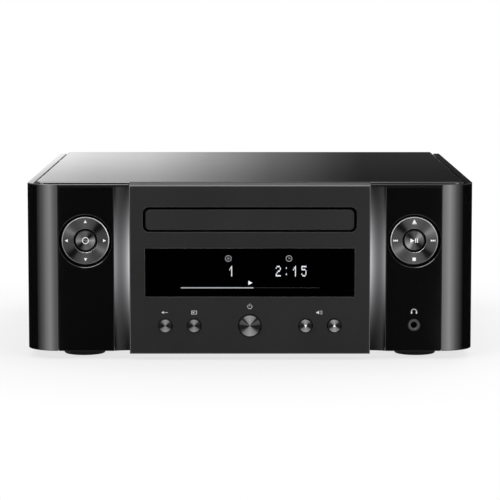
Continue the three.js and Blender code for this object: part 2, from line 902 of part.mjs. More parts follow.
function padCarrier(side) {
  const axisY = behind(ring.tiltAxisDepth);
  const y = around(axisY, carrier.thickness);
  const profile = [
    [carrier.innerRadius, y[0]],
    [carrier.outerRadius, y[0]],
    [carrier.outerRadius, y[1]],
    [carrier.innerRadius, y[1]],
    [carrier.innerRadius, y[0]],
  ];
  const centreX = side * padX;
  let body = turnedAlongY(profile, centreX, padZ, sides.key);
  const root = (carrier.innerRadius + carrier.outerRadius) / 2;
  for (const hand of [-1, 1]) {
    const pin = span(hand, root, carrier.outerRadius + carrier.pinReach).map((value) => padZ + value);
    body = join(body, rodAlongZ(carrier.pinRadius, pin, centreX, axisY, sides.pin));
    const axle = span(hand, root, carrier.outerRadius + carrier.axleReach).map((value) => centreX + value);
    body = join(body, rodAlongX(carrier.pinRadius, axle, axisY, padZ, sides.pin));
  }
  return body;
}

function padCentreKey(side) {
  const face = behind(well.recess);
  const capBack = face + centreKey.capDepth;
  const stemEnd = behind(centreKey.boardDepth) - key.travel - key.slack;
  const profile = [
    [0, face],
    [centreKey.radius - key.edge, face],
    [centreKey.radius, face + key.edge],
    [centreKey.radius, capBack],
    [centreKey.stemRadius, capBack],
    [centreKey.stemRadius, stemEnd],
    [0, stemEnd],
  ];
  return turnedAlongY(profile, side * padX, padZ, sides.key);
}

function headphoneJack() {
  const front = behind(-jack.proud);
  const bodyY = [behind(frameBackDepth + seam), behind(centreKey.boardDepth) - seam];
  const sleeve = rodAlongY(jack.ringRadius, [front, bodyY[0] + overrun], padX, jackZ, sides.pin);
  const body = block(around(padX, jack.bodyWidth), bodyY, around(jackZ, jack.bodyHeight));
  const hole = rodAlongY(jack.holeRadius, [front - overrun, bodyY[1] - overrun], padX, jackZ, sides.pin);
  return cut(join(sleeve, body), hole);
}

// Disc loader

function discTray() {
  const front = behind(trayFront);
  const back = behind(trayLength);
  const halfTray = trayWidth / 2;
  let body = block([-halfTray, halfTray], [front, back], [trayUnderside, trayTop]);
  const seatRadius = disc.radius + tray.seatClearance;
  const above = trayTop + overrun;
  body = cut(body, rodAlongZ(seatRadius, [floorTop, above], 0, discY, sides.ring));
  const smallSeatZ = [floorTop - tray.smallSeatDepth, above];
  body = cut(body, rodAlongZ(tray.smallSeatRadius, smallSeatZ, 0, discY, sides.ring));
  const slotY = [discY - tray.slotFront, discY + tray.slotBack];
  body = cut(body, block(around(0, tray.slotWidth), slotY, [trayUnderside - overrun, above]));
  for (const { side } of pair) {
    const runnerX = span(side, halfTray - tray.runnerWidth, halfTray);
    const runnerZ = [trayUnderside - tray.runnerHeight, trayUnderside + tray.floorThickness / 2];
    body = join(body, block(runnerX, [front, back], runnerZ));
  }
  return join(body, trayRack());
}

// Toothed bar under the tray, in mesh with the drive gear at rest
function trayRack() {
  const pitch = Math.PI * rack.module;
  const lean = rack.module * Math.tan(THREE.MathUtils.degToRad(gear.pressureAngle));
  const halfTooth = pitch / 4 - rack.backlash / 2;
  const count = Math.ceil(tray.travel / pitch) + 2;
  const start = behind(gear.depth) - pitch;
  const tip = rackLineX - rack.module;
  const root = rackLineX + rack.module * rack.rootShare;
  const rootLean = lean * rack.rootShare;
  const points = [[root + rack.backing, start - pitch / 2], [root, start - pitch / 2]];
  for (let index = 0; index < count; index += 1) {
    const y = start + index * pitch;
    points.push([root, y - halfTooth - rootLean], [tip, y - halfTooth + lean]);
    points.push([tip, y + halfTooth - lean], [root, y + halfTooth + rootLean]);
  }
  const end = start + (count - 0.5) * pitch;
  points.push([root, end], [root + rack.backing, end]);
  return uprightPrism(outlineOf(points), [gearBottom, trayUnderside + tray.floorThickness / 2]);
}

function trayDoor() {
  const y = [behind(-panel.proud), behind(panelBack)];
  const z = [doorBottom, doorBottom + door.height];
  return frontPrism(roundedRectangle(around(0, doorWidth), z, door.radius), y);
}

// Involute toothed wheel with a gap facing the rack
function driveGear() {
  const pitchRadius = (rack.module * gear.teeth) / 2;
  const baseRadius = pitchRadius * Math.cos(THREE.MathUtils.degToRad(gear.pressureAngle));
  const tipRadius = pitchRadius + rack.module;
  const rootRadius = pitchRadius - rack.module * rack.rootShare;
  const toothAngle = (2 * Math.PI) / gear.teeth;
  const involute = (radius) => {
    const angle = Math.acos(Math.min(1, baseRadius / radius));
    return Math.tan(angle) - angle;
  };
  const halfAtPitch = toothAngle / 4 - rack.backlash / 2 / pitchRadius;
  const halfAt = (radius) => halfAtPitch + involute(pitchRadius) - involute(radius);
  const points = [];
  const corner = (radius, angle) => points.push([radius * Math.cos(angle), radius * Math.sin(angle)]);
  for (let tooth = 0; tooth < gear.teeth; tooth += 1) {
    const middle = (tooth + 0.5) * toothAngle;
    corner(rootRadius, middle - halfAt(baseRadius));
    for (let step = 0; step <= sides.gearFlank; step += 1) {
      const radius = baseRadius + (tipRadius - baseRadius) * (step / sides.gearFlank);
      corner(radius, middle - halfAt(radius));
    }
    for (let step = sides.gearFlank; step >= 0; step -= 1) {
      const radius = baseRadius + (tipRadius - baseRadius) * (step / sides.gearFlank);
      corner(radius, middle + halfAt(radius));
    }
    corner(rootRadius, middle + halfAt(baseRadius));
  }
  const centre = gearCentre();
  const outline = outlineOf(points.map(([x, y]) => [centre[0] + x, centre[1] + y]));
  const z = [gearBottom, gearBottom + gear.thickness];
  const wheel = uprightPrism(outline, z);
  const bore = rodAlongZ(boreRadius(gear.postRadius), [z[0] - overrun, z[1] + overrun], ...centre, sides.pin);
  return cut(wheel, bore);
}

const gearCentre = () => [rackLineX - (rack.module * gear.teeth) / 2, behind(gear.depth)];

function loaderFrame() {
  const y = loaderDepths.map(behind);
  const root = loaderFloor + seam;
  let body = block([-loaderOuter, loaderOuter], y, [loaderFloor, loaderFloor + loader.floorThickness]);
  const guideTop = trayUnderside - tray.runnerHeight - seam;
  for (const { side } of pair) {
    body = join(body, block(span(side, loaderInner, loaderOuter), y, [loaderFloor, loaderTop]));
    const guideX = span(side, loaderInner - loader.guideReach, loaderInner + loader.wall / 2);
    body = join(body, block(guideX, y, [guideTop - loader.guideThickness, guideTop]));
    for (const legY of [y[0] + loader.legInset, y[1] - loader.legInset]) {
      const legX = span(side, loaderOuter - loader.legWidth, loaderOuter);
      body = join(body, block(legX, around(legY, loader.legWidth), [baseTop + seam, root]));
    }
  }
  const postTop = traverseZ[1] + traverse.lift - seam;
  for (const [x, postY] of traversePosts()) {
    const shoulder = rodAlongZ(traverse.shoulderRadius, [root, traverseZ[0] - seam], x, postY, sides.pin);
    body = join(body, shoulder, rodAlongZ(traverse.postRadius, [root, postTop], x, postY, sides.pin));
  }
  const centre = gearCentre();
  const gearSeat = rodAlongZ(gear.shoulderRadius, [root, gearBottom - seam], ...centre, sides.pin);
  const gearPost = rodAlongZ(gear.postRadius, [root, gearBottom + gear.thickness], ...centre, sides.pin);
  const holeZ = [loaderFloor - overrun, loaderFloor + loader.floorThickness + overrun];
  const motorHole = rodAlongZ(motor.holeRadius, holeZ, motor.x, behind(motor.depth), sides.pin);
  return cut(join(body, gearSeat, gearPost), motorHole);
}

// Posts that guide the traverse at its corners
function traversePosts() {
  const x = traverse.width / 2 - traverse.postInset;
  const [front, back] = traverseDepths();
  const y = [front + traverse.postInset, back - traverse.postInset];
  return [[-x, y[0]], [x, y[0]], [-x, y[1]], [x, y[1]]];
}

const traverseDepths = () => [discY - traverse.lead, behind(rodDepths[1] + traverse.tail)];

function loadingMotor() {
  const y = behind(motor.depth);
  const canTop = loaderFloor - seam;
  const can = rodAlongZ(motor.radius, [canTop - motor.height, canTop], motor.x, y, sides.key);
  const pinionBottom = loaderFloor + loader.floorThickness + seam;
  const shaftZ = [canTop - overrun, pinionBottom + overrun];
  const pinionZ = [pinionBottom, pinionBottom + motor.pinionHeight];
  const shaft = rodAlongZ(motor.shaftRadius, shaftZ, motor.x, y, sides.pin);
  return join(can, shaft, rodAlongZ(motor.pinionRadius, pinionZ, motor.x, y, sides.pin));
}

function traverseBase() {
  let body = block(around(0, traverse.width), traverseDepths(), traverseZ);
  const through = [traverseZ[0] - overrun, traverseZ[1] + overrun];
  for (const [x, postY] of traversePosts()) {
    body = cut(body, rodAlongZ(boreRadius(traverse.postRadius), through, x, postY, sides.pin));
  }
  const motorZ = [traverseZ[0] - traverse.motorDepth, traverseZ[0] + traverse.thickness / 2];
  body = join(body, rodAlongZ(traverse.motorRadius, motorZ, 0, discY, sides.key));
  const boreZ = [motorZ[0] + overrun, through[1]];
  body = cut(body, rodAlongZ(boreRadius(platter.shaftRadius), boreZ, 0, discY, sides.pin));
  const windowX = around(0, sled.width + 2 * sled.windowGap);
  const windowY = rodDepths.map(behind);
  body = cut(body, block(windowX, windowY, through));
  const rodY = [windowY[0] - rod.hold, windowY[1] + rod.hold];
  for (const { side } of pair) {
    body = join(body, rodAlongY(rod.radius, rodY, side * rod.x, rodZ, sides.pin));
  }
  return body;
}

function turntable() {
  const top = platterZ + platter.thickness;
  const shaftEnd = traverseZ[0] - traverse.motorDepth + platter.shaftFoot;
  const profile = [
    [0, shaftEnd],
    [platter.shaftRadius, shaftEnd],
    [platter.shaftRadius, platterZ],
    [platter.radius, platterZ],
    [platter.radius, top],
    [platter.spindleRadius, top],
    [platter.spindleRadius * platter.spindleTopShare, top + platter.spindleTop],
    [0, top + platter.spindleTop],
  ];
  return turnedAlongZ(profile, 0, discY, sides.key);
}

// Slide on the rods, with the lens on a narrower block that passes up through the tray's slot
function pickupSled() {
  const front = discY + sled.lead;
  const y = [front, front + sled.length];
  const opticsY = [front + sled.opticsInset, front + sled.opticsInset + sled.opticsLength];
  const opticsTop = sledZ[1] + sled.opticsHeight;
  const optics = block(around(0, sled.opticsWidth), opticsY, [rodZ, opticsTop]);
  const lensZ = [opticsTop - overrun, opticsTop + sled.lensHeight];
  const lens = rodAlongZ(sled.lensRadius, lensZ, 0, (opticsY[0] + opticsY[1]) / 2, sides.pin);
  let body = join(block(around(0, sled.width), y, sledZ), optics, lens);
  const boreY = [y[0] - overrun, y[1] + overrun];
  for (const { side } of pair) {
    body = cut(body, rodAlongY(boreRadius(rod.radius), boreY, side * rod.x, rodZ, sides.pin));
  }
  return body;
}

function clampBridge() {
  const z = [loaderTop + seam, loaderTop + seam + bridge.thickness];
  const plate = block([-loaderOuter, loaderOuter], around(discY, bridge.depth), z);
  const holeRadius = clamp.neckRadius + bridge.neckGap;
  return cut(plate, rodAlongZ(holeRadius, [z[0] - overrun, z[1] + overrun], 0, discY, sides.key));
}

// Disc clamp that hangs in the bridge by its cap
function clamper() {
  const capBottom = loaderTop + seam + bridge.thickness + seam;
  const profile = [
    [0, clampZ],
    [clamp.radius, clampZ],
    [clamp.radius, clampZ + clamp.thickness],
    [clamp.neckRadius, clampZ + clamp.thickness],
    [clamp.neckRadius, capBottom],
    [clamp.capRadius, capBottom],
    [clamp.capRadius, capBottom + clamp.capThickness],
    [0, capBottom + clamp.capThickness],
  ];
  return turnedAlongZ(profile, 0, discY, sides.key);
}

// Electronics

// Areas that the flat boards and the heat sink take on the chassis
function mainBoardArea() {
  const halfX = loaderOuter - loader.legWidth - mainBoard.legGap;
  return { x: [-halfX, halfX], y: [behind(mainBoard.front), behind(mainBoardBack)] };
}

function powerBoardArea() {
  const edge = -innerX + powerBoard.wallGap;
  return { x: [edge, edge + powerBoard.width], y: [behind(powerBoard.front), rearY - powerBoard.rearGap] };
}

function heatSinkArea() {
  const edge = innerX - sink.wallGap;
  return { x: [edge - sink.width, edge], y: [behind(sink.front), behind(wingFront - sink.boardGap)] };
}

function mainBoardPlate() {
  const { x, y } = mainBoardArea();
  const z = [boardZ, boardZ + board.thickness];
  const root = boardZ + board.thickness / 2;
  const wingX = [x[1] - board.thickness, innerX - mainBoard.wingGap];
  let body = join(block(x, y, z), block(wingX, [behind(wingFront), y[1]], z));
  const middle = (y[0] + y[1]) / 2;
  const canZ = [root, z[1] + mainBoard.canHeight];
  for (const row of [-1, 0, 1]) {
    const rowY = middle + row * mainBoard.chipPitch;
    const chipZ = [root, z[1] + mainBoard.chipHeight];
    body = join(body, block(around(0, mainBoard.chip), around(rowY, mainBoard.chip), chipZ));
    for (const { side } of pair) {
      body = join(body, rodAlongZ(mainBoard.canRadius, canZ, side * mainBoard.canX, rowY, sides.pin));
    }
  }
  return body;
}

function powerBoardPlate() {
  const { x, y } = powerBoardArea();
  const z = [boardZ, boardZ + board.thickness];
  const root = boardZ + board.thickness / 2;
  const middle = [(x[0] + x[1]) / 2, (y[0] + y[1]) / 2];
  const chokeY = around(middle[1] + powerBoard.canPitch, powerBoard.canPitch);
  const canZ = [root, z[1] + powerBoard.canHeight];
  let body = block(x, y, z);
  for (const { side } of pair) {
    const canX = middle[0] + (side * powerBoard.canPitch) / 2;
    const can = rodAlongZ(powerBoard.canRadius, canZ, canX, middle[1] - powerBoard.canPitch, sides.pin);
    const choke = block(around(canX, powerBoard.canRadius), chokeY, [root, z[1] + powerBoard.blockHeight]);
    body = join(body, can, choke);
  }
  return body;
}

function powerTransformer() {
  const bottom = baseTop + seam;
  const edge = -innerX + transformer.wallGap;
  const x = [edge, edge + transformer.width];
  const y = [behind(transformer.front), behind(transformer.front + transformer.depth)];
  const inset = transformer.coilInset;
  const coilX = [x[0] + inset, x[1] - inset];
  const coilY = [y[0] - transformer.coilOverhang, y[1] + transformer.coilOverhang];
  const coilZ = [bottom + inset, bottom + transformer.height - inset];
  return join(block(x, y, [bottom, bottom + transformer.height]), block(coilX, coilY, coilZ));
}

function heatSink() {
  const bottom = baseTop + seam;
  const { x, y } = heatSinkArea();
  let body = block(x, y, [bottom, bottom + sink.base]);
  const finZ = [bottom + sink.base / 2, bottom + sink.height];
  const pitch = (sink.width - sink.fin) / (sink.finCount - 1);
  for (let index = 0; index < sink.finCount; index += 1) {
    const finX = x[0] + index * pitch;
    body = join(body, block([finX, finX + sink.fin], y, finZ));
  }
  return body;
}

// Rear

function rearPanel() {
  const edgeX = innerX - seam;
  const y = [rearInside, rearY];
  let body = block([-edgeX, edgeX], y, [chassis.lift, seatZ]);
  const flangeX = innerX - shell.ledgeReach - seam;
  const flangeY = [rearY - rear.flange, rearInside + chassis.sheet / 2];
  body = join(body, block([-flangeX, flangeX], flangeY, [seatZ - chassis.sheet, seatZ]));
  const through = [y[0] - overrun, y[1] + overrun];
  const opening = (x, z, width, height) =>
    block(around(x, width + 2 * seam), through, around(z, height + 2 * seam));
  const speakers = speakerArea();
  const lines = lineArea();
  body = cut(
    body,
    block(shrunk(speakers.inside.x, -seam), through, shrunk(speakers.inside.z, -seam)),
    block(shrunk(lines.inside.x, -seam), through, shrunk(lines.inside.z, -seam)),
    opening(networkX, network.z, network.width, network.height),
    opening(usbX, usb.z, usb.width, usb.height),
    rodAlongY(aerial.barrelRadius + seam, through, aerial.x, aerialZ, sides.pin),
    opening(inletX, inlet.z, inlet.bodyWidth, inlet.bodyHeight),
  );
  for (const { side } of pair) {
    const bossY = [rearInside + chassis.sheet / 2, rearY + antenna.bossHeight];
    const pinY = [rearInside + chassis.sheet / 2, rearY + antenna.bossHeight + seam + antenna.thickness];
    const x = side * antennaX;
    body = join(body, rodAlongY(antenna.bossRadius, bossY, x, antennaZ, sides.key));
    body = join(body, rodAlongY(antenna.pinRadius, pinY, x, antennaZ, sides.pin));
  }
  return body;
}

// Stretch drawn in at both ends
const shrunk = (stretch, inset) => [stretch[0] + inset, stretch[1] - inset];

// Outer plate of a row of terminals, and the part of it that passes through the rear panel
function speakerArea() {
  const x = [Math.min(...postPlaces) - posts.plateMargin, Math.max(...postPlaces) + posts.plateMargin];
  const z = around(posts.z, 2 * posts.plateMargin);
  return { x, z, inside: { x: shrunk(x, posts.insideMargin), z: shrunk(z, posts.insideMargin) } };
}

function lineArea() {
  const x = around(lineX, (lineSockets.columns - 1) * lineSockets.pitch + 2 * lineSockets.margin);
  const z = around(lineSockets.z, (lineSockets.rows - 1) * lineSockets.pitch + 2 * lineSockets.margin);
  const margin = lineSockets.plateThickness;
  return { x, z, inside: { x: shrunk(x, margin), z: shrunk(z, margin) } };
}

function speakerBlock() {
  const { x, z, inside } = speakerArea();
  const plateY = [rearY + seam, rearY + seam + posts.plateThickness];
  const root = plateY[0] + posts.plateThickness / 2;
  let body = join(block(x, plateY, z), block(inside.x, [rearInside - posts.insideDepth, root], inside.z));
  const end = rearY + posts.reach;
  const collarY = [root, plateY[1] + posts.collarThickness];
  const plugY = [end - posts.plugDepth, end + overrun];
  for (const postX of postPlaces) {
    const collar = rodAlongY(posts.collarRadius, collarY, postX, posts.z, sides.pin);
    const shaft = rodAlongY(posts.shaftRadius, [root, end], postX, posts.z, sides.pin);
    const plugHole = rodAlongY(posts.plugRadius, plugY, postX, posts.z, sides.pin);
    body = cut(join(body, collar, shaft), plugHole);
  }
  return body;
}

// Thumb nut on a speaker post, fluted for grip
function speakerNut(x) {
  const front = rearY + seam + posts.plateThickness + posts.collarThickness + seam;
  const y = [front, rearY + posts.reach - posts.shaftShow];
  const points = [];
  for (let index = 0; index < 2 * posts.nutFlutes; index += 1) {
    const angle = (Math.PI * index) / posts.nutFlutes;
    const radius = posts.nutRadius - (index % 2) * posts.nutFluteDepth;
    points.push([x + radius * Math.cos(angle), posts.z + radius * Math.sin(angle)]);
  }
  const boreY = [y[0] - overrun, y[1] + overrun];
  const bore = rodAlongY(boreRadius(posts.shaftRadius), boreY, x, posts.z, sides.pin);
  return cut(frontPrism(outlineOf(points), y), bore);
}

function lineSocketBlock() {
  const { x, z, inside } = lineArea();
  const plateY = [rearY + seam, rearY + seam + lineSockets.plateThickness];
  const root = plateY[0] + lineSockets.plateThickness / 2;
  const insideY = [rearInside - lineSockets.insideDepth, root];
  let body = join(block(x, plateY, z), block(inside.x, insideY, inside.z));
  const end = plateY[1] + lineSockets.length;
  const holeY = [plateY[0], end + overrun];
  for (let column = 0; column < lineSockets.columns; column += 1) {
    for (let row = 0; row < lineSockets.rows; row += 1) {
      const socketX = lineX + (column - (lineSockets.columns - 1) / 2) * lineSockets.pitch;
      const socketZ = lineSockets.z + (row - (lineSockets.rows - 1) / 2) * lineSockets.pitch;
      const barrel = rodAlongY(lineSockets.barrelRadius, [root, end], socketX, socketZ, sides.pin);
      const hole = rodAlongY(lineSockets.holeRadius, holeY, socketX, socketZ, sides.pin);
      body = cut(join(body, barrel), hole);
    }
  }
  return body;
}

function networkSocket() {
  const y = [rearY - network.depth, rearY];
  const body = block(around(networkX, network.width), y, around(network.z, network.height));
  const mouthY = [rearY - network.mouthDepth, rearY + overrun];
  const mouthX = around(networkX, network.mouthWidth);
  return cut(body, block(mouthX, mouthY, around(network.z, network.mouthHeight)));
}

function usbSocket() {
  const y = [rearY - usb.depth, rearY];
  const body = block(around(usbX, usb.width), y, around(usb.z, usb.height));
  const mouthY = [y[0] + usb.tongue, rearY + overrun];
  const mouthZ = around(usb.z, usb.mouthHeight);
  const tongueZ = [mouthZ[1] - usb.tongue, mouthZ[1] - seam];
  const tongueX = around(usbX, usb.mouthWidth - usb.tongue);
  const tongue = block(tongueX, [y[0] + overrun, rearY - overrun], tongueZ);
  return join(cut(body, block(around(usbX, usb.mouthWidth), mouthY, mouthZ)), tongue);
}

function aerialSocket() {
  const washerY = [rearY + seam, rearY + seam + aerial.washer];
  const reachY = washerY[1] + aerial.reach;
  const washer = rodAlongY(aerial.washerRadius, washerY, aerial.x, aerialZ, sides.nut);
  const barrelY = [rearInside - aerial.inside, reachY];
  const barrel = rodAlongY(aerial.barrelRadius, barrelY, aerial.x, aerialZ, sides.pin);
  const hole = rodAlongY(aerial.holeRadius, [rearY, reachY + overrun], aerial.x, aerialZ, sides.pin);
  return cut(join(washer, barrel), hole);
}

function mainsInlet() {
  const flangeY = [rearY + seam, rearY + seam + inlet.flange];
  const flange = block(around(inletX, inlet.width), flangeY, around(inlet.z, inlet.height));
  const bodyY = [flangeY[1] - inlet.depth, (flangeY[0] + flangeY[1]) / 2];
  const body = block(around(inletX, inlet.bodyWidth), bodyY, around(inlet.z, inlet.bodyHeight));
  const mouthY = [flangeY[1] - inlet.mouthDepth, flangeY[1] + overrun];
  const mouthX = around(inletX, inlet.mouthWidth);
  const mouthShape = roundedRectangle(mouthX, around(inlet.z, inlet.mouthHeight), inlet.mouthHeight / 2);
  let whole = cut(join(flange, body), frontPrism(mouthShape, mouthY));
  for (const { side } of pair) {
    const x = inletX + (side * inlet.pinSpacing) / 2;
    const pinY = [mouthY[0] - overrun, flangeY[1] - inlet.pinInset];
    whole = join(whole, rodAlongY(inlet.pinRadius, pinY, x, inlet.z, sides.pin));
  }
  return whole;
}

// Folding aerial, stored hanging down from its pin
function foldingAntenna(side) {
  const front = rearY + antenna.bossHeight + seam;
  const y = [front, front + antenna.thickness];
  const x = side * antennaX;
  const half = antenna.width / 2;
  const tipHalf = half * antenna.tipWidthShare;
  const tipZ = antennaZ - antenna.length;
  const shape = new THREE.Shape();
  shape.moveTo(x + half, antennaZ);
  shape.absarc(x, antennaZ, half, 0, Math.PI, false);
  shape.lineTo(x - tipHalf, tipZ + tipHalf);
  shape.absarc(x, tipZ + tipHalf, tipHalf, Math.PI, 2 * Math.PI, false);
  const boreY = [y[0] - overrun, y[1] + overrun];
  const bore = rodAlongY(boreRadius(antenna.pinRadius), boreY, x, antennaZ, sides.pin);
  return cut(frontPrism(shape, y), bore);
}

// Assembly

place('bottom_chassis', bottomChassis(), 'steel');
place('rear_panel', rearPanel(), 'blackSteel');
place('top_plate', topPlate(), 'glossBlack');
place('front_subframe', frontSubframe(), 'mouldedBlack');
place('centre_panel', centrePanel(), 'satinBlack');
place('display_window', displayWindow(), 'window');
place('display_module', displayModule(), 'circuit');
place('key_board_centre', centreKeyBoard(), 'circuit');
place('tray_door', trayDoor(), 'satinBlack');
for (const { name, x, size } of keyPlaces()) {
  place(name, pushKey(x, size), 'keyMetal');
}
const padNames = {
  left: { ring: 'nav_ring', carrier: 'nav_carrier', middle: 'enter_button' },
  right: { ring: 'transport_ring', carrier: 'transport_carrier', middle: 'play_button' },
};
for (const { side, word } of pair) {
  place(`${word}_side_panel`, sidePanel(side), 'glossBlack');
  place(`${word}_fascia_insert`, fasciaInsert(side), 'glossBlack');
  place(`${word}_cove`, coveStrip(side), 'coveMetal');
  place(`${word}_light_guide`, lightGuide(side), 'clear');
  place(`key_board_${word}`, padBoardPlate(side), 'circuit');
  place(padNames[word].ring, padRing(side), 'keyMetal');
  place(padNames[word].carrier, padCarrier(side), 'mouldedBlack');
  place(padNames[word].middle, padCentreKey(side), 'keyMetal');
  place(`${word}_antenna`, foldingAntenna(side), 'mouldedBlack');
  const footX = side * (halfWidth - foot.sideInset);
  place(`foot_front_${word}`, footAt(footX, behind(foot.frontInset)), 'rubber');
  place(`foot_rear_${word}`, footAt(footX, rearY - foot.rearInset), 'rubber');
}
place('headphone_jack', headphoneJack(), 'mouldedBlack');
place('disc_tray', discTray(), 'mouldedBlack');
place('drive_gear', driveGear(), 'ivory');
place('loader_frame', loaderFrame(), 'mouldedBlack');
place('loading_motor', loadingMotor(), 'steel');
place('traverse_base', traverseBase(), 'steel');
place('turntable', turntable(), 'mouldedBlack');
place('pickup_sled', pickupSled(), 'aluminium');
place('clamp_bridge', clampBridge(), 'steel');
place('clamper', clamper(), 'ivory');
place('main_board', mainBoardPlate(), 'circuit');
place('power_board', powerBoardPlate(), 'circuit');
place('power_transformer', powerTransformer(), 'steel');
place('heat_sink', heatSink(), 'aluminium');
place('speaker_block', speakerBlock(), 'mouldedBlack');
postPlaces.forEach((x, index) => place(`speaker_nut_${index + 1}`, speakerNut(x), 'brass'));
place('line_socket_block', lineSocketBlock(), 'nickel');
place('network_socket', networkSocket(), 'nickel');
place('usb_socket', usbSocket(), 'nickel');
place('aerial_socket', aerialSocket(), 'nickel');
place('mains_inlet', mainsInlet(), 'mouldedBlack');

export default receiver;
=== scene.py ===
"""A half-width network disc receiver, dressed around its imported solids.

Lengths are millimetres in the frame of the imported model, with +Z up and the front
towards -Y. They become metres where a mesh, a lamp or the camera is made.
"""

import json
import logging
import math
from dataclasses import dataclass
from enum import Enum
from functools import lru_cache
from typing import Optional, Sequence

import bmesh
import bpy
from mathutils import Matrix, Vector
from mathutils.geometry import tessellate_polygon


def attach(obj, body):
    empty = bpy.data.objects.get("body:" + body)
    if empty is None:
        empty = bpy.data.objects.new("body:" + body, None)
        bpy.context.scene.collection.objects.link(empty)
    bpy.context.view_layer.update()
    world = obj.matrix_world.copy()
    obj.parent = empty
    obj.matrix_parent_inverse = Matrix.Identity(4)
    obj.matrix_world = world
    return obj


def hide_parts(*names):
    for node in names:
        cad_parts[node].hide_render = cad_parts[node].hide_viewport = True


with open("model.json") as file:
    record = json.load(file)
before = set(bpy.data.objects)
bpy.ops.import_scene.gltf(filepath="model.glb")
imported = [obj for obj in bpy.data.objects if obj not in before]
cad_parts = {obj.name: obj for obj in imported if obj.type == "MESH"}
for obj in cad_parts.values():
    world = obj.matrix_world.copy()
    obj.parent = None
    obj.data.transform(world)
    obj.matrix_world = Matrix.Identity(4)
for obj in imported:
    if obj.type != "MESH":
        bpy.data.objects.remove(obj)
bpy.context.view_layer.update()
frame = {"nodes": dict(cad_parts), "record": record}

log = logging.getLogger("receiver")

MM = 0.001
once = lru_cache(maxsize=None)
Point = tuple[float, float]
Loop = list[Point]
Span = tuple[float, float]
Triple = tuple[float, float, float]
Quad = tuple[float, float, float, float]
Colour = Triple
Place = Triple
Tree = bpy.types.NodeTree
Node = bpy.types.Node
Socket = bpy.types.NodeSocket
Sockets = bpy.types.bpy_prop_collection
Item = bpy.types.Object


class Facing(Enum):
    """The direction in which a flat outline is thickened."""

    FRONT = "front"
    UP = "up"

    def place(self, u: float, v: float, w: float) -> Place:
        """Puts outline coordinates and a depth in space.

        Args:
            u: First outline coordinate.
            v: Second outline coordinate.
            w: Place along the thickness.

        Returns:
            X, Y and Z.
        """
        return (u, w, v) if self is Facing.FRONT else (u, v, w)


class Hand(Enum):
    """Left and right, as seen from the front."""

    LEFT = -1
    RIGHT = 1

    @property
    def word(self) -> str:
        """Name used in the names of pieces."""
        return self.name.lower()


FRONT, UP = Facing.FRONT, Facing.UP


# Outlines


def box_loop(u: Span, v: Span) -> Loop:
    """Rectangle as a loop of four corners.

    Args:
        u: Low and high end of the first coordinate.
        v: Low and high end of the second coordinate.

    Returns:
        Its corners.
    """
    return [(u[0], v[0]), (u[1], v[0]), (u[1], v[1]), (u[0], v[1])]


def arc(centre: Point, radii: Point, start: float, end: float, steps: int) -> Loop:
    """Part of an ellipse.

    Args:
        centre: Middle of the ellipse.
        radii: Its half sizes.
        start: First angle in degrees.
        end: Last angle in degrees.
        steps: Number of stretches.

    Returns:
        Its points, both ends among them.
    """
    points = []
    for step in range(steps + 1):
        angle = math.radians(start + (end - start) * step / steps)
        points.append((centre[0] + radii[0] * math.cos(angle), centre[1] + radii[1] * math.sin(angle)))
    return points


def circle(centre: Point, radius: float, steps: int = 64) -> Loop:
    """Full circle as a loop.

    Args:
        centre: Its middle.
        radius: Its radius.
        steps: Number of corners.

    Returns:
        Its points.
    """
    return arc(centre, (radius, radius), 0, 360, steps)[:-1]


def rounded_box(u: Span, v: Span, radius: float, steps: int = 10) -> Loop:
    """Rectangle with round corners.

    Args:
        u: Low and high end of the first coordinate.
        v: Low and high end of the second coordinate.
        radius: Radius of the corners.
        steps: Stretches in each corner.

    Returns:
        Its points.
    """
    loop: Loop = []
    places = ((u[1], v[0], -90), (u[1], v[1], 0), (u[0], v[1], 90), (u[0], v[0], 180))
    for x, z, start in places:
        middle = (
            x - math.copysign(radius, x - u[0] - 1e-9), z - math.copysign(radius, z - v[0] - 1e-9)
        )
        loop += arc(middle, (radius, radius), start, start + 90, steps)
    return loop


def mirrored(loop: Loop, hand: Hand) -> Loop:
    """Outline drawn for the right side, put on either side.

    Args:
        loop: Outline on the right.
        hand: Side wanted.

    Returns:
        The outline on that side.
    """
    return [(hand.value * u, v) for u, v in loop]


def offset(loop: Loop, inset: float) -> Loop:
    """Outline drawn in on all sides, or let out for a negative inset.

    Args:
        loop: Outline, either way round.
        inset: Distance inward.

    Returns:
        An outline with as many corners.
    """
    if abs(inset) < 1e-9:
        return list(loop)
    after = loop[1:] + loop[:1]
    area = sum(here[0] * there[1] - there[0] * here[1] for here, there in zip(loop, after))
    turn = math.copysign(1.0, area)
    moved: Loop = []
    for i, here in enumerate(loop):
        spot = Vector(here)
        into = (spot - Vector(loop[i - 1])).normalized()
        out = (Vector(after[i]) - spot).normalized()
        normal_a = Vector((-into.y, into.x)) * turn
        normal_b = Vector((-out.y, out.x)) * turn
        mitre = (normal_a + normal_b) / max(0.35, 1 + normal_a.dot(normal_b))
        moved.append(tuple(spot + mitre * inset))
    return moved


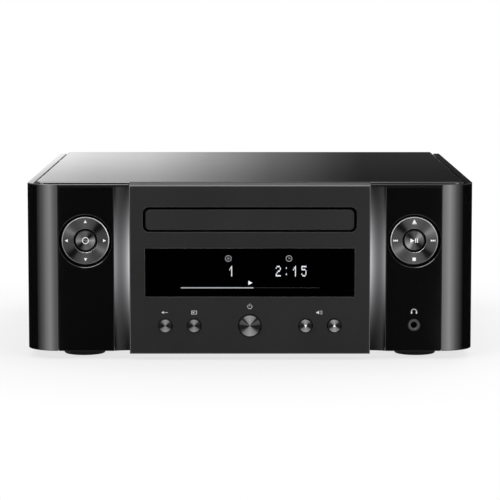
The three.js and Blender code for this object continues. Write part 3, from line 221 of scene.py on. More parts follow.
def softened(corners: Sequence[Triple], steps: int = 5) -> Loop:
    """Rounds the corners of a turned profile.

    Args:
        corners: Points with the radius of each.
        steps: Stretches in each round corner.

    Returns:
        The profile with its corners rounded.
    """
    count = len(corners)
    profile: Loop = []
    for i, (u, v, radius) in enumerate(corners):
        spot = Vector((u, v))
        if radius <= 0:
            profile.append((u, v))
            continue
        back = Vector(corners[i - 1][:2]) - spot
        ahead = Vector(corners[(i + 1) % count][:2]) - spot
        reach = min(back.length, ahead.length) * 0.49
        back.normalize()
        ahead.normalize()
        half = back.angle(ahead) / 2
        cut = min(radius / math.tan(half), reach)
        middle = spot + (back + ahead).normalized() * (cut / math.cos(half))
        start, end = spot + back * cut - middle, spot + ahead * cut - middle
        sweep = start.angle(end)
        for step in range(steps + 1):
            share = step / steps
            mix = start * math.sin((1 - share) * sweep) + end * math.sin(share * sweep)
            profile.append(tuple(middle + mix / math.sin(sweep)))
    return profile


def edge_steps(face: float, inward: float, radius: float, steps: int = 4) -> list[Point]:
    """Depths and insets of a round edge.

    Args:
        face: Place of the face along the thickness.
        inward: 1 or -1, the way from the face into the piece.
        radius: Radius of the edge.
        steps: Number of stretches.

    Returns:
        Pairs of depth and inset, from the face inward.
    """
    if radius <= 0:
        return [(face, 0.0)]
    pairs = []
    for step in range(steps + 1):
        angle = math.pi / 2 * step / steps
        pairs.append((face + inward * radius * (1 - math.cos(angle)), radius * (1 - math.sin(angle))))
    return pairs


# Meshes


class Body:
    """Collects closed shells, and turns them into one piece of the scene."""

    def __init__(self) -> None:
        """Starts with nothing in it."""
        self.points: list[Place] = []
        self.faces: list[tuple[int, ...]] = []
        self.skins: list[int] = []

    def _face(self, corners: Sequence[int], skin: int) -> None:
        """Adds one face with the number of its finish."""
        self.faces.append(tuple(corners))
        self.skins.append(skin)

    def layers(
        self, facing: Facing, levels: Sequence[tuple[float, Sequence[Loop]]], skin: int = 0
    ) -> "Body":
        """Adds a shell from outlines at several depths, the first outside and the others holes.

        Args:
            facing: Way in which the outlines are thickened.
            levels: Depth and loops of each level, with the same corners at every level.
            skin: Number of its finish.

        Returns:
            This body, so that shells can follow each other.
        """
        starts = []
        for depth, loops in levels:
            starts.append([])
            for loop in loops:
                starts[-1].append(len(self.points))
                self.points += [facing.place(u, v, depth) for u, v in loop]
        for level in range(len(levels) - 1):
            for number, loop in enumerate(levels[level][1]):
                low, high, count = starts[level][number], starts[level + 1][number], len(loop)
                for i in range(count):
                    j = (i + 1) % count
                    self._face((low + i, low + j, high + j, high + i), skin)
        for level in (0, len(levels) - 1):
            loops = levels[level][1]
            flat = [[Vector((u, v, 0.0)) for u, v in loop] for loop in loops]
            spots = [
                starts[level][number] + i for number, loop in enumerate(loops) for i in range(len(loop))
            ]
            for triangle in tessellate_polygon(flat):
                self._face([spots[i] for i in triangle], skin)
        return self

    def plate(
        self,
        facing: Facing,
        outer: Loop,
        ends: Span,
        edge: Span = (0.0, 0.0),
        holes: Sequence[Loop] = (),
        steps: int = 4,
        skin: int = 0,
    ) -> "Body":
        """Adds a flat shell with round edges.

        Args:
            facing: Way in which the outline is thickened.
            outer: Outline.
            ends: Face and back along the thickness.
            edge: Radius of the edges at the face and at the back.
            holes: Outlines of holes right through it.
            steps: Stretches in each round edge.
            skin: Number of its finish.

        Returns:
            This body.
        """
        way = math.copysign(1.0, ends[1] - ends[0])
        pairs = edge_steps(ends[0], way, edge[0], steps) + edge_steps(
            ends[1], -way, edge[1], steps
        )[::-1]
        levels = []
        for depth, inset in pairs:
            levels.append((depth, [offset(outer, inset), *(offset(hole, -inset) for hole in holes)]))
        return self.layers(facing, levels, skin)

    def block(self, x: Span, y: Span, z: Span) -> "Body":
        """Adds a plain box.

        Args:
            x: Its ends along X.
            y: Its ends along Y.
            z: Its ends along Z.

        Returns:
            This body.
        """
        return self.plate(FRONT, box_loop(x, z), y)

    def turned(
        self, facing: Facing, profile: Loop, centre: Point, count: int = 72, skin: int = 0
    ) -> "Body":
        """Adds a turned shell.

        Args:
            facing: Direction of its axis.
            profile: Closed profile of radius and depth.
            centre: Place of the axis.
            count: Number of sides.
            skin: Number of its finish.

        Returns:
            This body.
        """
        first, size = len(self.points), len(profile)
        for side in range(count):
            angle = 2 * math.pi * side / count
            for radius, depth in profile:
                u, v = centre[0] + radius * math.cos(angle), centre[1] + radius * math.sin(angle)
                self.points.append(facing.place(u, v, depth))
        for side in range(count):
            near, far = first + side * size, first + (side + 1) % count * size
            for i in range(size):
                j = (i + 1) % size
                if profile[i][0] + profile[j][0] > 1e-9:
                    self._face((near + i, near + j, far + j, far + i), skin)
        return self

    def piece(
        self,
        name: str,
        rides: str,
        finishes: Sequence["Finish"],
        stands_for: Sequence[str] = (),
        sharp: float = 34.0,
    ) -> None:
        """Makes the piece, and hides the solids that it stands for.

        Args:
            name: Name of the piece.
            rides: Body that carries it.
            finishes: Its finishes, in the order of their numbers.
            stands_for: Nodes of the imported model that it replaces.
            sharp: Angle in degrees above which an edge stays sharp.
        """
        work = bmesh.new()
        corners = [work.verts.new([value * MM for value in point]) for point in self.points]
        for face, skin in zip(self.faces, self.skins):
            if len(set(face)) < 3:
                continue
            made = work.faces.new([corners[i] for i in face])
            made.material_index = skin
        bmesh.ops.remove_doubles(work, verts=work.verts, dist=2e-7)
        bmesh.ops.dissolve_degenerate(work, edges=work.edges, dist=1e-8)
        bmesh.ops.recalc_face_normals(work, faces=work.faces)
        mesh = bpy.data.meshes.new(name)
        work.to_mesh(mesh)
        work.free()
        mesh.shade_smooth()
        mesh.set_sharp_from_angle(angle=math.radians(sharp))
        item = bpy.data.objects.new(name, mesh)
        bpy.context.scene.collection.objects.link(item)
        for finish in finishes:
            mesh.materials.append(finish.material())
        smooth = item.modifiers.new("even_faces", "WEIGHTED_NORMAL")
        smooth.keep_sharp = True
        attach(item, rides)
        if stands_for:
            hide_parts(*stands_for)
        log.info("%s: %d faces on %s", name, len(mesh.polygons), rides)


def slot_of(node: str) -> str:
    """Material slot that the record gives to a node.

    Args:
        node: Name of the node.

    Returns:
        Name of the slot.
    """
    return next(part["material_slot"] for part in frame["record"]["subparts"] if part["node"] == node)


# Shader nodes


class Graph:
    """Places nodes in a tree, sets their inputs and joins them."""

    def __init__(self, tree: Tree) -> None:
        """Works in one tree.

        Args:
            tree: The tree.
        """
        self.tree = tree

    def node(self, kind: str, inputs: Optional[dict] = None, **settings: object) -> Node:
        """Adds a node.

        Args:
            kind: Its type, without the leading ShaderNode.
            inputs: Values or sockets for its inputs, by name or number.
            settings: Its other settings.

        Returns:
            The node.
        """
        made = self.tree.nodes.new(f"ShaderNode{kind}")
        for key, value in settings.items():
            setattr(made, key, value)
        for key, value in (inputs or {}).items():
            if isinstance(value, Socket):
                self.tree.links.new(value, made.inputs[key])
            else:
                made.inputs[key].default_value = value
        return made

    def spot(self) -> Socket:
        """Place on the object, in its own metres."""
        return self.node("TexCoord").outputs["Object"]

    def parts(self, vector: Socket) -> Sockets:
        """X, Y and Z of a vector, as three sockets."""
        return self.node("SeparateXYZ", {0: vector}).outputs

    def noise(self, spot: Socket, scale: object, detail: float, **inputs: float) -> Socket:
        """Adds a cloudy pattern.

        Args:
            spot: Place on the object.
            scale: Its scale, a number or a socket.
            detail: Its number of octaves.
            inputs: Its other values.

        Returns:
            Its value, from 0 to 1.
        """
        others = {key.title(): value for key, value in inputs.items()}
        return self.node(
            "TexNoise", {"Vector": spot, "Scale": scale, "Detail": detail, **others}
        ).outputs[0]

    def math(self, operation: str, *values: object, clamp: bool = False) -> Socket:
        """Adds a sum of numbers.

        Args:
            operation: Its name.
            values: Its numbers or sockets.
            clamp: True to keep the result between 0 and 1.

        Returns:
            The result's socket.
        """
        return self.node(
            "Math", dict(enumerate(values)), operation=operation, use_clamp=clamp
        ).outputs[0]

    def times(self, first: object, second: object) -> Socket:
        """Product of two values."""
        return self.math("MULTIPLY", first, second)

    def scaled(self, value: object, gain: object, base: object) -> Socket:
        """Value times a gain, plus a base."""
        return self.math("MULTIPLY_ADD", value, gain, base)

    def ramp(self, value: Socket, stops: Sequence[Point]) -> Socket:
        """Maps a value between 0 and 1 through grey stops.

        Args:
            value: The value.
            stops: Places and greys.

        Returns:
            The grey.
        """
        made = self.node("ValToRGB", {"Fac": value})
        band = made.color_ramp
        while len(band.elements) < len(stops):
            band.elements.new(0.5)
        for element, (place, grey) in zip(band.elements, stops):
            element.position = place
            element.color = (grey, grey, grey, 1)
        return made.outputs["Color"]

    def mix(self, share: object, first: object, second: object) -> Socket:
        """Mixes two colours.

        Args:
            share: Share of the second, a number or a socket.
            first: First colour.
            second: Second colour.

        Returns:
            The mixed colour.
        """
        made = self.node("Mix", data_type="RGBA")
        for spot, value in ((0, share), (6, first), (7, second)):
            if isinstance(value, Socket):
                self.tree.links.new(value, made.inputs[spot])
            elif isinstance(value, (int, float)):
                made.inputs[spot].default_value = value
            else:
                made.inputs[spot].default_value = (*value, 1)
        return made.outputs[2]


class Effect(Graph):
    """Graph of a shader node group with named inputs and outputs."""

    def __init__(self, name: str, inputs: dict[str, object], outputs: Sequence[str]) -> None:
        """Starts a group.

        Args:
            name: Name of the group.
            inputs: Starting values of its inputs, a number or three numbers each.
            outputs: Names of its outputs.
        """
        super().__init__(bpy.data.node_groups.new(name, "ShaderNodeTree"))
        for key, value in inputs.items():
            kind = "NodeSocketFloat" if isinstance(value, (int, float)) else "NodeSocketVector"
            socket = self.tree.interface.new_socket(name=key, in_out="INPUT", socket_type=kind)
            socket.default_value = value
        for key in outputs:
            self.tree.interface.new_socket(name=key, in_out="OUTPUT", socket_type="NodeSocketFloat")
        self.given = self.tree.nodes.new("NodeGroupInput").outputs
        self.sink = self.tree.nodes.new("NodeGroupOutput").inputs

    def give(self, name: str, value: Socket) -> None:
        """Joins a value to an output of the group.

        Args:
            name: Name of the output.
            value: The value.
        """
        self.tree.links.new(value, self.sink[name])


@once
def fine_grain() -> Tree:
    """Builds the grain of moulded and painted surfaces.

    Returns:
        A group with a height and a slow tone.
    """
    group = Effect("fine_grain", {"Scale": 900.0, "Patch": 30.0}, ("Height", "Tone"))
    spot = group.spot()
    group.give("Height", group.noise(spot, scale=group.given["Scale"], detail=3.0, roughness=0.6))
    group.give("Tone", group.noise(spot, scale=group.given["Patch"], detail=2.0))
    return group.tree


@once
def edge_wear() -> Tree:
    """Builds the lightly rubbed look of edges.

    Returns:
        A group with a mask that is 1 on worn edges.
    """
    group = Effect("edge_wear", {"Reach": 0.0005, "Amount": 1.0}, ("Mask",))
    soft = group.node("Bevel", {"Radius": group.given["Reach"]}, samples=4).outputs[0]
    straight = group.node("NewGeometry").outputs["Normal"]
    same = group.node("VectorMath", {0: soft, 1: straight}, operation="DOT_PRODUCT").outputs["Value"]
    patches = group.noise(group.spot(), scale=220.0, detail=4.0)
    gain = 6.0
    bend = group.math("MULTIPLY", group.math("SUBTRACT", 1.0, same), gain, clamp=True)
    rubbed = group.times(bend, group.ramp(patches, ((0.35, 0.15), (0.65, 1.0))))
    group.give("Mask", group.times(rubbed, group.given["Amount"]))
    return group.tree


@once
def spun_lines() -> Tree:
    """Builds the fine rings of a turned face, and the angle that places its painted light and shade.

    Returns:
        A group with a height, with the angle about the centre as a share of a half turn, going
        round or mirrored left and right, and with the depth behind the centre in metres.
    """
    inputs = {"Centre": (0.0, 0.0, 0.0), "Pitch": 0.00012, "Turn": 0.0, "Sense": 1.0}
    group = Effect("spun_lines", inputs, ("Height", "Round", "Mirrored", "Depth"))
    unsteady = 0.07
    arm = group.node(
        "VectorMath", {0: group.spot(), 1: group.given["Centre"]}, operation="SUBTRACT"
    ).outputs[0]
    parts = group.parts(arm)
    squares = group.math("ADD", group.math("POWER", parts[0], 2.0), group.math("POWER", parts[2], 2.0))
    rings = group.math("DIVIDE", group.math("POWER", squares, 0.5), group.given["Pitch"])
    lines = group.node(
        "TexNoise", {"W": rings, "Scale": 1.0, "Detail": 2.0}, noise_dimensions="1D"
    ).outputs[0]
    clock = group.times(group.math("ARCTAN2", parts[0], parts[2]), group.given["Sense"])
    share = group.math("DIVIDE", group.math("SUBTRACT", clock, group.given["Turn"]), math.pi)
    waver = group.times(group.math("SUBTRACT", lines, 0.5), unsteady)
    group.give("Height", lines)
    group.give("Depth", parts[1])
    group.give("Round", group.math("FRACT", group.math("ADD", share, waver)))
    group.give("Mirrored", group.math("ADD", group.math("ABSOLUTE", share), waver, clamp=True))
    return group.tree


@once
def tilted_edge() -> Tree:
    """Builds the masks of the bevels round a face that looks to the front.

    Returns:
        A group with a mask that is 1 where the surface leans, and 0 on the face and on upright
        walls, and with a mask that is 1 where it leans only a little.
    """
    group = Effect("tilted_edge", {"Face": 0.985, "Lean": 0.75, "Wall": 0.3}, ("Mask", "Slight"))
    front = group.parts(group.node("NewGeometry").outputs["Normal"])[1]
    flat = group.math("ABSOLUTE", front)
    leaning = group.math("LESS_THAN", flat, group.given["Face"])
    group.give("Mask", group.times(leaning, group.math("GREATER_THAN", flat, group.given["Wall"])))
    group.give("Slight", group.times(leaning, group.math("GREATER_THAN", flat, group.given["Lean"])))
    return group.tree


@once
def bell_glow() -> Tree:
    """Builds the upright spread of light from the guide strips, also used to shape the light painted on
    the coves.

    Returns:
        A group with a level that is 1 at the brightest height.
    """
    group = Effect("bell_glow", {"Middle": 0.0615, "Reach": 0.0262}, ("Level",))
    height = group.parts(group.spot())[2]
    away = group.math(
        "DIVIDE", group.math("SUBTRACT", height, group.given["Middle"]), group.given["Reach"]
    )
    bell = group.math("POWER", math.e, group.times(group.times(away, away), -1.0))
    group.give("Level", bell)
    return group.tree


@once
def drawn_lines() -> Tree:
    """Builds the straight lines of brushed or rolled metal.

    Returns:
        A group with a height.
    """
    group = Effect("drawn_lines", {"Stretch": (4.0, 900.0, 900.0)}, ("Height",))
    stretched = {0: group.spot(), 1: group.given["Stretch"]}
    long = group.node("VectorMath", stretched, operation="MULTIPLY").outputs[0]
    group.give("Height", group.noise(long, scale=1.0, detail=3.0))
    return group.tree


@once
def dust_film() -> Tree:
    """Builds the thin dust that settles on surfaces that face up.

    Returns:
        A group with a mask.
    """
    group = Effect("dust_film", {"Amount": 0.2}, ("Mask",))
    up = group.parts(group.node("NewGeometry").outputs["Normal"])[2]
    spot = group.spot()
    specks = group.ramp(group.noise(spot, scale=1400.0, detail=2.0), ((0.55, 0.0), (0.8, 1.0)))
    clouds = group.ramp(group.noise(spot, scale=14.0, detail=3.0), ((0.3, 0.2), (0.7, 1.0)))
    spread = group.times(specks, clouds)
    lying = group.times(group.math("MAXIMUM", up, 0.0), spread)
    group.give("Mask", group.times(lying, group.given["Amount"]))
    return group.tree


@once
def handling_haze() -> Tree:
    """Builds the uneven sheen that wiping and handling leave.

    Returns:
        A group with a value between 0 and 1.
    """
    group = Effect("handling_haze", {"Scale": 18.0}, ("Value",))
    haze = group.noise(group.spot(), scale=group.given["Scale"], detail=5.0, distortion=0.6)
    group.give("Value", group.ramp(haze, ((0.35, 0.0), (0.7, 1.0))))
    return group.tree


# Finishes


class Paint(Graph):
    """Graph of one material, with its Principled shader."""

    def __init__(self, tree: Tree) -> None:
        """Opens a new material's tree.

        Args:
            tree: The tree.
        """
        super().__init__(tree)
        self.shader = tree.nodes["Principled BSDF"]

    def feed(self, name: str, value: Socket) -> None:
        """Joins a value that changes over the surface to an input of the shader.

        Args:
            name: Name of the input.
            value: The value.
        """
        self.tree.links.new(value, self.shader.inputs[name])

    def set(self, name: str, value: float) -> None:
        """Sets an input of the shader to one number.

        Args:
            name: Name of the input.
            value: The number.
        """
        self.shader.inputs[name].default_value = value

    def effect(self, group: Tree, **inputs: object) -> Sockets:
        """Places a shared effect in the material.

        Args:
            group: The shared node group.
            inputs: Its values here.

        Returns:
            Its outputs.
        """
        made = self.tree.nodes.new("ShaderNodeGroup")
        made.node_tree = group
        for key, value in inputs.items():
            made.inputs[key].default_value = value
        return made.outputs

    def rough(self, share: Socket, gain: float, base: object) -> None:
        """Lets the roughness rise with a share.

        Args:
            share: The share, from 0 to 1.
            gain: What a share of 1 adds.
            base: Roughness at a share of 0, a number or a socket.
        """
        self.feed("Roughness", self.scaled(share, gain, base))

    def bump(self, height: Socket, depth: float, strength: float) -> None:
        """Puts a height on the surface.

        Args:
            height: The height, from 0 to 1.
            depth: What a height of 1 measures, in metres.
            strength: Strength of the bump.
        """
        made = self.node("Bump", {"Height": height, "Distance": depth, "Strength": strength})
        self.feed("Normal", made.outputs[0])


def shaded(colour: Colour, share: float) -> Colour:
    """Colour made darker or lighter, with no channel above 1.

    Args:
        colour: The colour.
        share: What each channel is multiplied by.

    Returns:
        The new colour.
    """
    return tuple(min(1.0, value * share) for value in colour)


@dataclass(frozen=True)
class Finish:
    """What every finish shares: a name, and a material made once."""

    name: str

    def material(self) -> bpy.types.Material:
        """Material of this finish, made on first use."""
        return made_material(self)

    def dress(self, paint: Paint) -> None:
        """Sets up the material.

        Args:
            paint: Its graph.
        """
        raise NotImplementedError


@once
def made_material(finish: Finish) -> bpy.types.Material:
    """Makes the material of a finish.

    Args:
        finish: The finish.

    Returns:
        Its material.
    """
    material = bpy.data.materials.new(finish.name)
    material.use_nodes = True
    finish.dress(Paint(material.node_tree))
    return material


@dataclass(frozen=True)
class Lacquer(Finish):
    """Gloss black plastic, with faint haze and dust."""

    colour: Colour = (0.003, 0.003, 0.0032)
    worn: Colour = (0.05, 0.05, 0.052)
    dusty: Colour = (0.09, 0.088, 0.085)
    roughness: float = 0.03
    haze: float = 0.03
    dust: float = 0.25
    dust_roughness: float = 0.3
    peel_depth: float = 0.000004

    def dress(self, paint: Paint) -> None:
        """Sets up the material.

        Args:
            paint: Its graph.
        """
        haze = paint.effect(handling_haze())["Value"]
        dust = paint.effect(dust_film(), Amount=self.dust)["Mask"]
        wear = paint.effect(edge_wear(), Reach=0.0003, Amount=0.1)["Mask"]
        paint.feed("Base Color", paint.mix(wear, paint.mix(dust, self.colour, self.dusty), self.worn))
        hazy = paint.scaled(haze, self.haze, self.roughness)
        paint.rough(dust, self.dust_roughness, hazy)
        paint.set("Specular IOR Level", 1.0)
        peel = paint.effect(fine_grain(), Scale=160.0, Patch=8.0)["Height"]
        paint.bump(peel, self.peel_depth, 0.25)


@dataclass(frozen=True)
class Satin(Finish):
    """Satin paint or moulded plastic: fine grain, rubbed edges, painted highlight on bevels."""

    colour: Colour = (0.03, 0.031, 0.033)
    worn: Colour = (0.12, 0.12, 0.122)
    dusty: Colour = (0.16, 0.155, 0.15)
    roughness: float = 0.42
    uneven: float = 0.12
    grain: float = 900.0
    depth: float = 0.00002
    wear: float = 0.35
    vary: float = 0.16
    sheen: float = 0.3
    # Painted highlight colours for the bevels round a front face, and for the line where they lean only
    # a little.
    bevel_highlight: Optional[Colour] = None
    bevel_line_highlight: Colour = (0.2, 0.2, 0.2)

    def dress(self, paint: Paint) -> None:
        """Sets up the material.

        Args:
            paint: Its graph.
        """
        grain = paint.effect(fine_grain(), Scale=self.grain, Patch=26.0)
        wear = paint.effect(edge_wear(), Amount=self.wear)["Mask"]
        dust = paint.effect(dust_film(), Amount=0.3)["Mask"]
        pale, deep = shaded(self.colour, 1 + self.vary), shaded(self.colour, 1 - self.vary)
        body = paint.mix(grain["Tone"], deep, pale)
        rubbed = paint.mix(wear, body, self.worn)
        # Painted highlight: the bevels, and the line where they lean only a little, are coloured
        # lighter.
        if self.bevel_highlight:
            edges = paint.effect(tilted_edge())
            leaning = paint.mix(edges["Mask"], rubbed, self.bevel_highlight)
            rubbed = paint.mix(edges["Slight"], leaning, self.bevel_line_highlight)
        paint.feed("Base Color", paint.mix(dust, rubbed, self.dusty))
        paint.rough(grain["Tone"], self.uneven, self.roughness - self.uneven / 2)
        paint.set("Specular IOR Level", self.sheen)
        paint.bump(grain["Height"], self.depth, 0.5)


@dataclass(frozen=True)
class SpunMetal(Finish):
    """Turned and dark anodised metal with fine rings about a centre, and painted reflection by angle.
    """

    centre: Place = (0.0, 0.0, 0.0)
    turn: float = 0.0
    sense: float = 1.0
    spread: str = "Round"
    # Painted reflection: grey stops by the angle about the centre, lighter and darker sectors.
    stops: Sequence[Point] = ((0.0, 0.2), (1.0, 0.05))
    # Colour of the bevels: dark as painted shade, or light as a painted highlight where given so.
    cut: Colour = (0.01, 0.01, 0.01)
    # Painted shade: what lies deeper than rim_depth behind the face is near black.
    sunk_shade: Colour = (0.003, 0.003, 0.003)
    rim_depth: float = 0.6
    roughness: float = 0.34
    uneven: float = 0.12
    stretch: float = 0.5
    ring_depth: float = 0.000012

    def dress(self, paint: Paint) -> None:
        """Sets up the material.

        Args:
            paint: Its graph.
        """
        centre = tuple(value * MM for value in self.centre)
        turn = math.radians(self.turn)
        lines = paint.effect(spun_lines(), Centre=centre, Turn=turn, Sense=self.sense)
        edge = paint.effect(tilted_edge())["Mask"]
        # Painted reflection laid by angle about the centre.
        body = paint.ramp(lines[self.spread], self.stops)
        sunk = paint.math("GREATER_THAN", lines["Depth"], self.rim_depth * MM)
        # Painted light on the bevels, painted shade deeper in the hole.
        paint.feed("Base Color", paint.mix(sunk, paint.mix(edge, body, self.cut), self.sunk_shade))
        paint.rough(lines["Height"], self.uneven, self.roughness - self.uneven / 2)
        paint.set("Metallic", 1.0)
        paint.set("Anisotropic", self.stretch)
        tangent = paint.node("Tangent", direction_type="RADIAL", axis="Y")
        paint.feed("Tangent", tangent.outputs[0])
        paint.bump(lines["Height"], self.ring_depth, 0.5)


@dataclass(frozen=True)
class DrawnMetal(Finish):
    """Bare, plated or painted metal with drawn lines."""

    colour: Colour = (0.5, 0.5, 0.5)
    roughness: float = 0.34
    polish: float = 0.05
    uneven: float = 0.14
    stretch: Triple = (6.0, 700.0, 700.0)
    depth: float = 0.00001
    vary: float = 0.14

    def dress(self, paint: Paint) -> None:
        """Sets up the material.

        Args:
            paint: Its graph.
        """
        lines = paint.effect(drawn_lines(), Stretch=self.stretch)["Height"]
        haze = paint.effect(handling_haze(), Scale=30.0)["Value"]
        wear = paint.effect(edge_wear(), Amount=0.5)["Mask"]
        body = paint.mix(lines, shaded(self.colour, 1 - self.vary), shaded(self.colour, 1 + self.vary))
        bright = tuple(min(1.0, value * 1.5 + 0.05) for value in self.colour)
        paint.feed("Base Color", paint.mix(wear, body, bright))
        paint.rough(haze, self.uneven, self.roughness - self.polish)
        paint.set("Metallic", 1.0)
        paint.bump(lines, self.depth, 0.5)


@dataclass(frozen=True)
class Print(Finish):
    """Screen printed ink with a painted glow, emission that makes it brighter than its lighting makes
    it.
    """

    colour: Colour = (0.82, 0.82, 0.82)
    roughness: float = 0.45
    uneven: float = 0.15
    lift: float = 0.12
    grain_depth: float = 0.000005

    def dress(self, paint: Paint) -> None:
        """Sets up the material.

        Args:
            paint: Its graph.
        """
        grain = paint.effect(fine_grain(), Scale=2600.0, Patch=400.0)
        body = paint.mix(grain["Height"], shaded(self.colour, 0.82), self.colour)
        paint.feed("Base Color", body)
        paint.rough(grain["Tone"], self.uneven, self.roughness)
        # Painted light: the ink glows in its own colour, though it is no lamp.
        paint.feed("Emission Color", body)
        paint.set("Emission Strength", self.lift)
        paint.bump(grain["Height"], self.grain_depth, 0.4)


@dataclass(frozen=True)
class Glow(Finish):
    """Lit dots and bars of the display."""

    colour: Colour = (0.94, 0.97, 1.0)
    unlit: tuple[Colour, Colour] = ((0.4, 0.4, 0.4), (0.5, 0.5, 0.5))
    roughness: float = 0.4
    uneven: float = 0.2
    strength: float = 8.0

    def dress(self, paint: Paint) -> None:
        """Sets up the material.

        Args:
            paint: Its graph.
        """
        grain = paint.effect(fine_grain(), Scale=1800.0, Patch=220.0)
        paint.feed("Emission Color", paint.mix(grain["Tone"], shaded(self.colour, 0.86), self.colour))
        paint.set("Emission Strength", self.strength)
        paint.feed("Base Color", paint.mix(grain["Height"], *self.unlit))
        paint.rough(grain["Tone"], self.uneven, self.roughness)


@dataclass(frozen=True)
class LitGuide(Finish):
    """Clear strip that is lit from behind, brightest near one height."""

    colour: Colour = (0.9, 0.95, 1.0)
    unlit: tuple[Colour, Colour] = ((0.5, 0.55, 0.6), (0.62, 0.66, 0.7))
    roughness: float = 0.25
    uneven: float = 0.1
    strength: float = 1.0

    def dress(self, paint: Paint) -> None:
        """Sets up the material.

        Args:
            paint: Its graph.
        """
        bell = paint.effect(bell_glow())["Level"]
        grain = paint.effect(fine_grain(), Scale=500.0, Patch=60.0)
        level = paint.times(bell, paint.scaled(grain["Tone"], 0.2, 0.9))
        paint.feed("Emission Color", paint.mix(level, (0.0, 0.0, 0.0), self.colour))
        paint.set("Emission Strength", self.strength)
        paint.feed("Base Color", paint.mix(grain["Height"], *self.unlit))
        paint.rough(grain["Tone"], self.uneven, self.roughness)


@dataclass(frozen=True)
class PaintedGlowCove(Finish):
    """Dark satin metal with the guide strip's light painted on it as emission."""

    colour: Colour = (0.02, 0.02, 0.0205)
    painted_glow_colour: Colour = (1.1, 1.1, 1.14)
    roughness: float = 0.28
    uneven: float = 0.1
    line_depth: float = 0.000008
    across: Span = (75.0, 84.6)
    # Painted light: share of the guide's glow across the cove, from its inner edge outward.
    stops: tuple[Point, ...] = (
        (0.0, 0.6), (0.07, 0.5), (0.14, 0.36), (0.22, 0.28), (0.36, 0.175), (0.5, 0.12),
        (0.62, 0.108), (0.74, 0.115), (0.84, 0.16), (0.94, 0.21), (1.0, 0.3),
    )

    def dress(self, paint: Paint) -> None:
        """Sets up the material.

        Args:
            paint: Its graph.
        """
        lines = paint.effect(drawn_lines(), Stretch=(900.0, 900.0, 8.0))["Height"]
        paint.feed("Base Color", paint.mix(lines, shaded(self.colour, 0.85), self.colour))
        paint.rough(lines, self.uneven, self.roughness)
        paint.set("Metallic", 1.0)
        # Painted light: the guide strip's glow laid on the cove as emission, shaped across by the stops
        # and upright by the bell.
        side = paint.math("ABSOLUTE", paint.parts(paint.spot())[0])
        low, high = (value * MM for value in self.across)
        share = paint.math("DIVIDE", paint.math("SUBTRACT", side, low), high - low)
        bell = paint.effect(bell_glow())["Level"]
        smooth = paint.times(paint.ramp(share, self.stops), bell)
        level = paint.times(smooth, paint.scaled(lines, 0.16, 0.92))
        paint.feed("Emission Color", paint.mix(level, (0.0, 0.0, 0.0), self.painted_glow_colour))
        paint.set("Emission Strength", 1.0)
        paint.bump(lines, self.line_depth, 0.4)


@dataclass(frozen=True)
class SmokedGlass(Finish):
    """Smoke-tinted clear window."""

    colour: Colour = (0.15, 0.15, 0.155)
    roughness: float = 0.002
    uneven: float = 0.006
    index: float = 1.35

    def dress(self, paint: Paint) -> None:
        """Sets up the material.

        Args:
            paint: Its graph.
        """
        haze = paint.effect(handling_haze(), Scale=24.0)["Value"]
        paint.feed("Base Color", paint.mix(haze, shaded(self.colour, 0.92), self.colour))
        paint.rough(haze, self.uneven, self.roughness)
        paint.set("Transmission Weight", 1.0)
        paint.set("IOR", self.index)


@dataclass(frozen=True)
class Circuit(Finish):
    """Circuit board with tracks and pads under solder resist."""

    colour: Colour = (0.012, 0.07, 0.028)
    parts: Colour = (0.02, 0.022, 0.03)
    pad: Colour = (0.42, 0.36, 0.2)
    top: float = 14.62
    roughness: float = 0.3
    uneven: float = 0.2
    track_depth: float = 0.00002

    def dress(self, paint: Paint) -> None:
        """Sets up the material.

        Args:
            paint: Its graph.
        """
        spot = paint.spot()
        bricks = {"Scale": 190.0, "Mortar Size": 0.06, "Brick Width": 0.9, "Row Height": 0.3}
        tracks = paint.node("TexBrick", {"Vector": spot, **bricks}).outputs["Fac"]
        pads = paint.node("TexVoronoi", {"Vector": spot, "Scale": 260.0}).outputs["Distance"]
        dots = paint.math("LESS_THAN", pads, 0.16)
        grain = paint.effect(fine_grain(), Scale=700.0, Patch=40.0)
        base = paint.mix(tracks, self.colour, shaded(self.colour, 1.7))
        above = paint.math("GREATER_THAN", paint.parts(spot)[2], self.top * MM)
        paint.feed("Base Color", paint.mix(above, paint.mix(dots, base, self.pad), self.parts))
        paint.rough(grain["Tone"], self.uneven, self.roughness)
        paint.bump(tracks, self.track_depth, 0.5)


CASE = Lacquer("case_gloss_black")
TOP = Lacquer("top_gloss_black", roughness=0.05, haze=0.03, dust=0.4)
# The panel's bevels carry a painted highlight.
PANEL = Satin(
    "panel_satin_black", colour=(0.0208, 0.0208, 0.0208), sheen=0.15, bevel_highlight=(0.075, 0.075, 0.075)
)
DOOR = Satin("door_satin_black", colour=(0.0252, 0.0252, 0.0252), roughness=0.38, sheen=0.15)
COVE = PaintedGlowCove("cove_metal_painted_glow")
WINDOW = SmokedGlass("window_smoke")
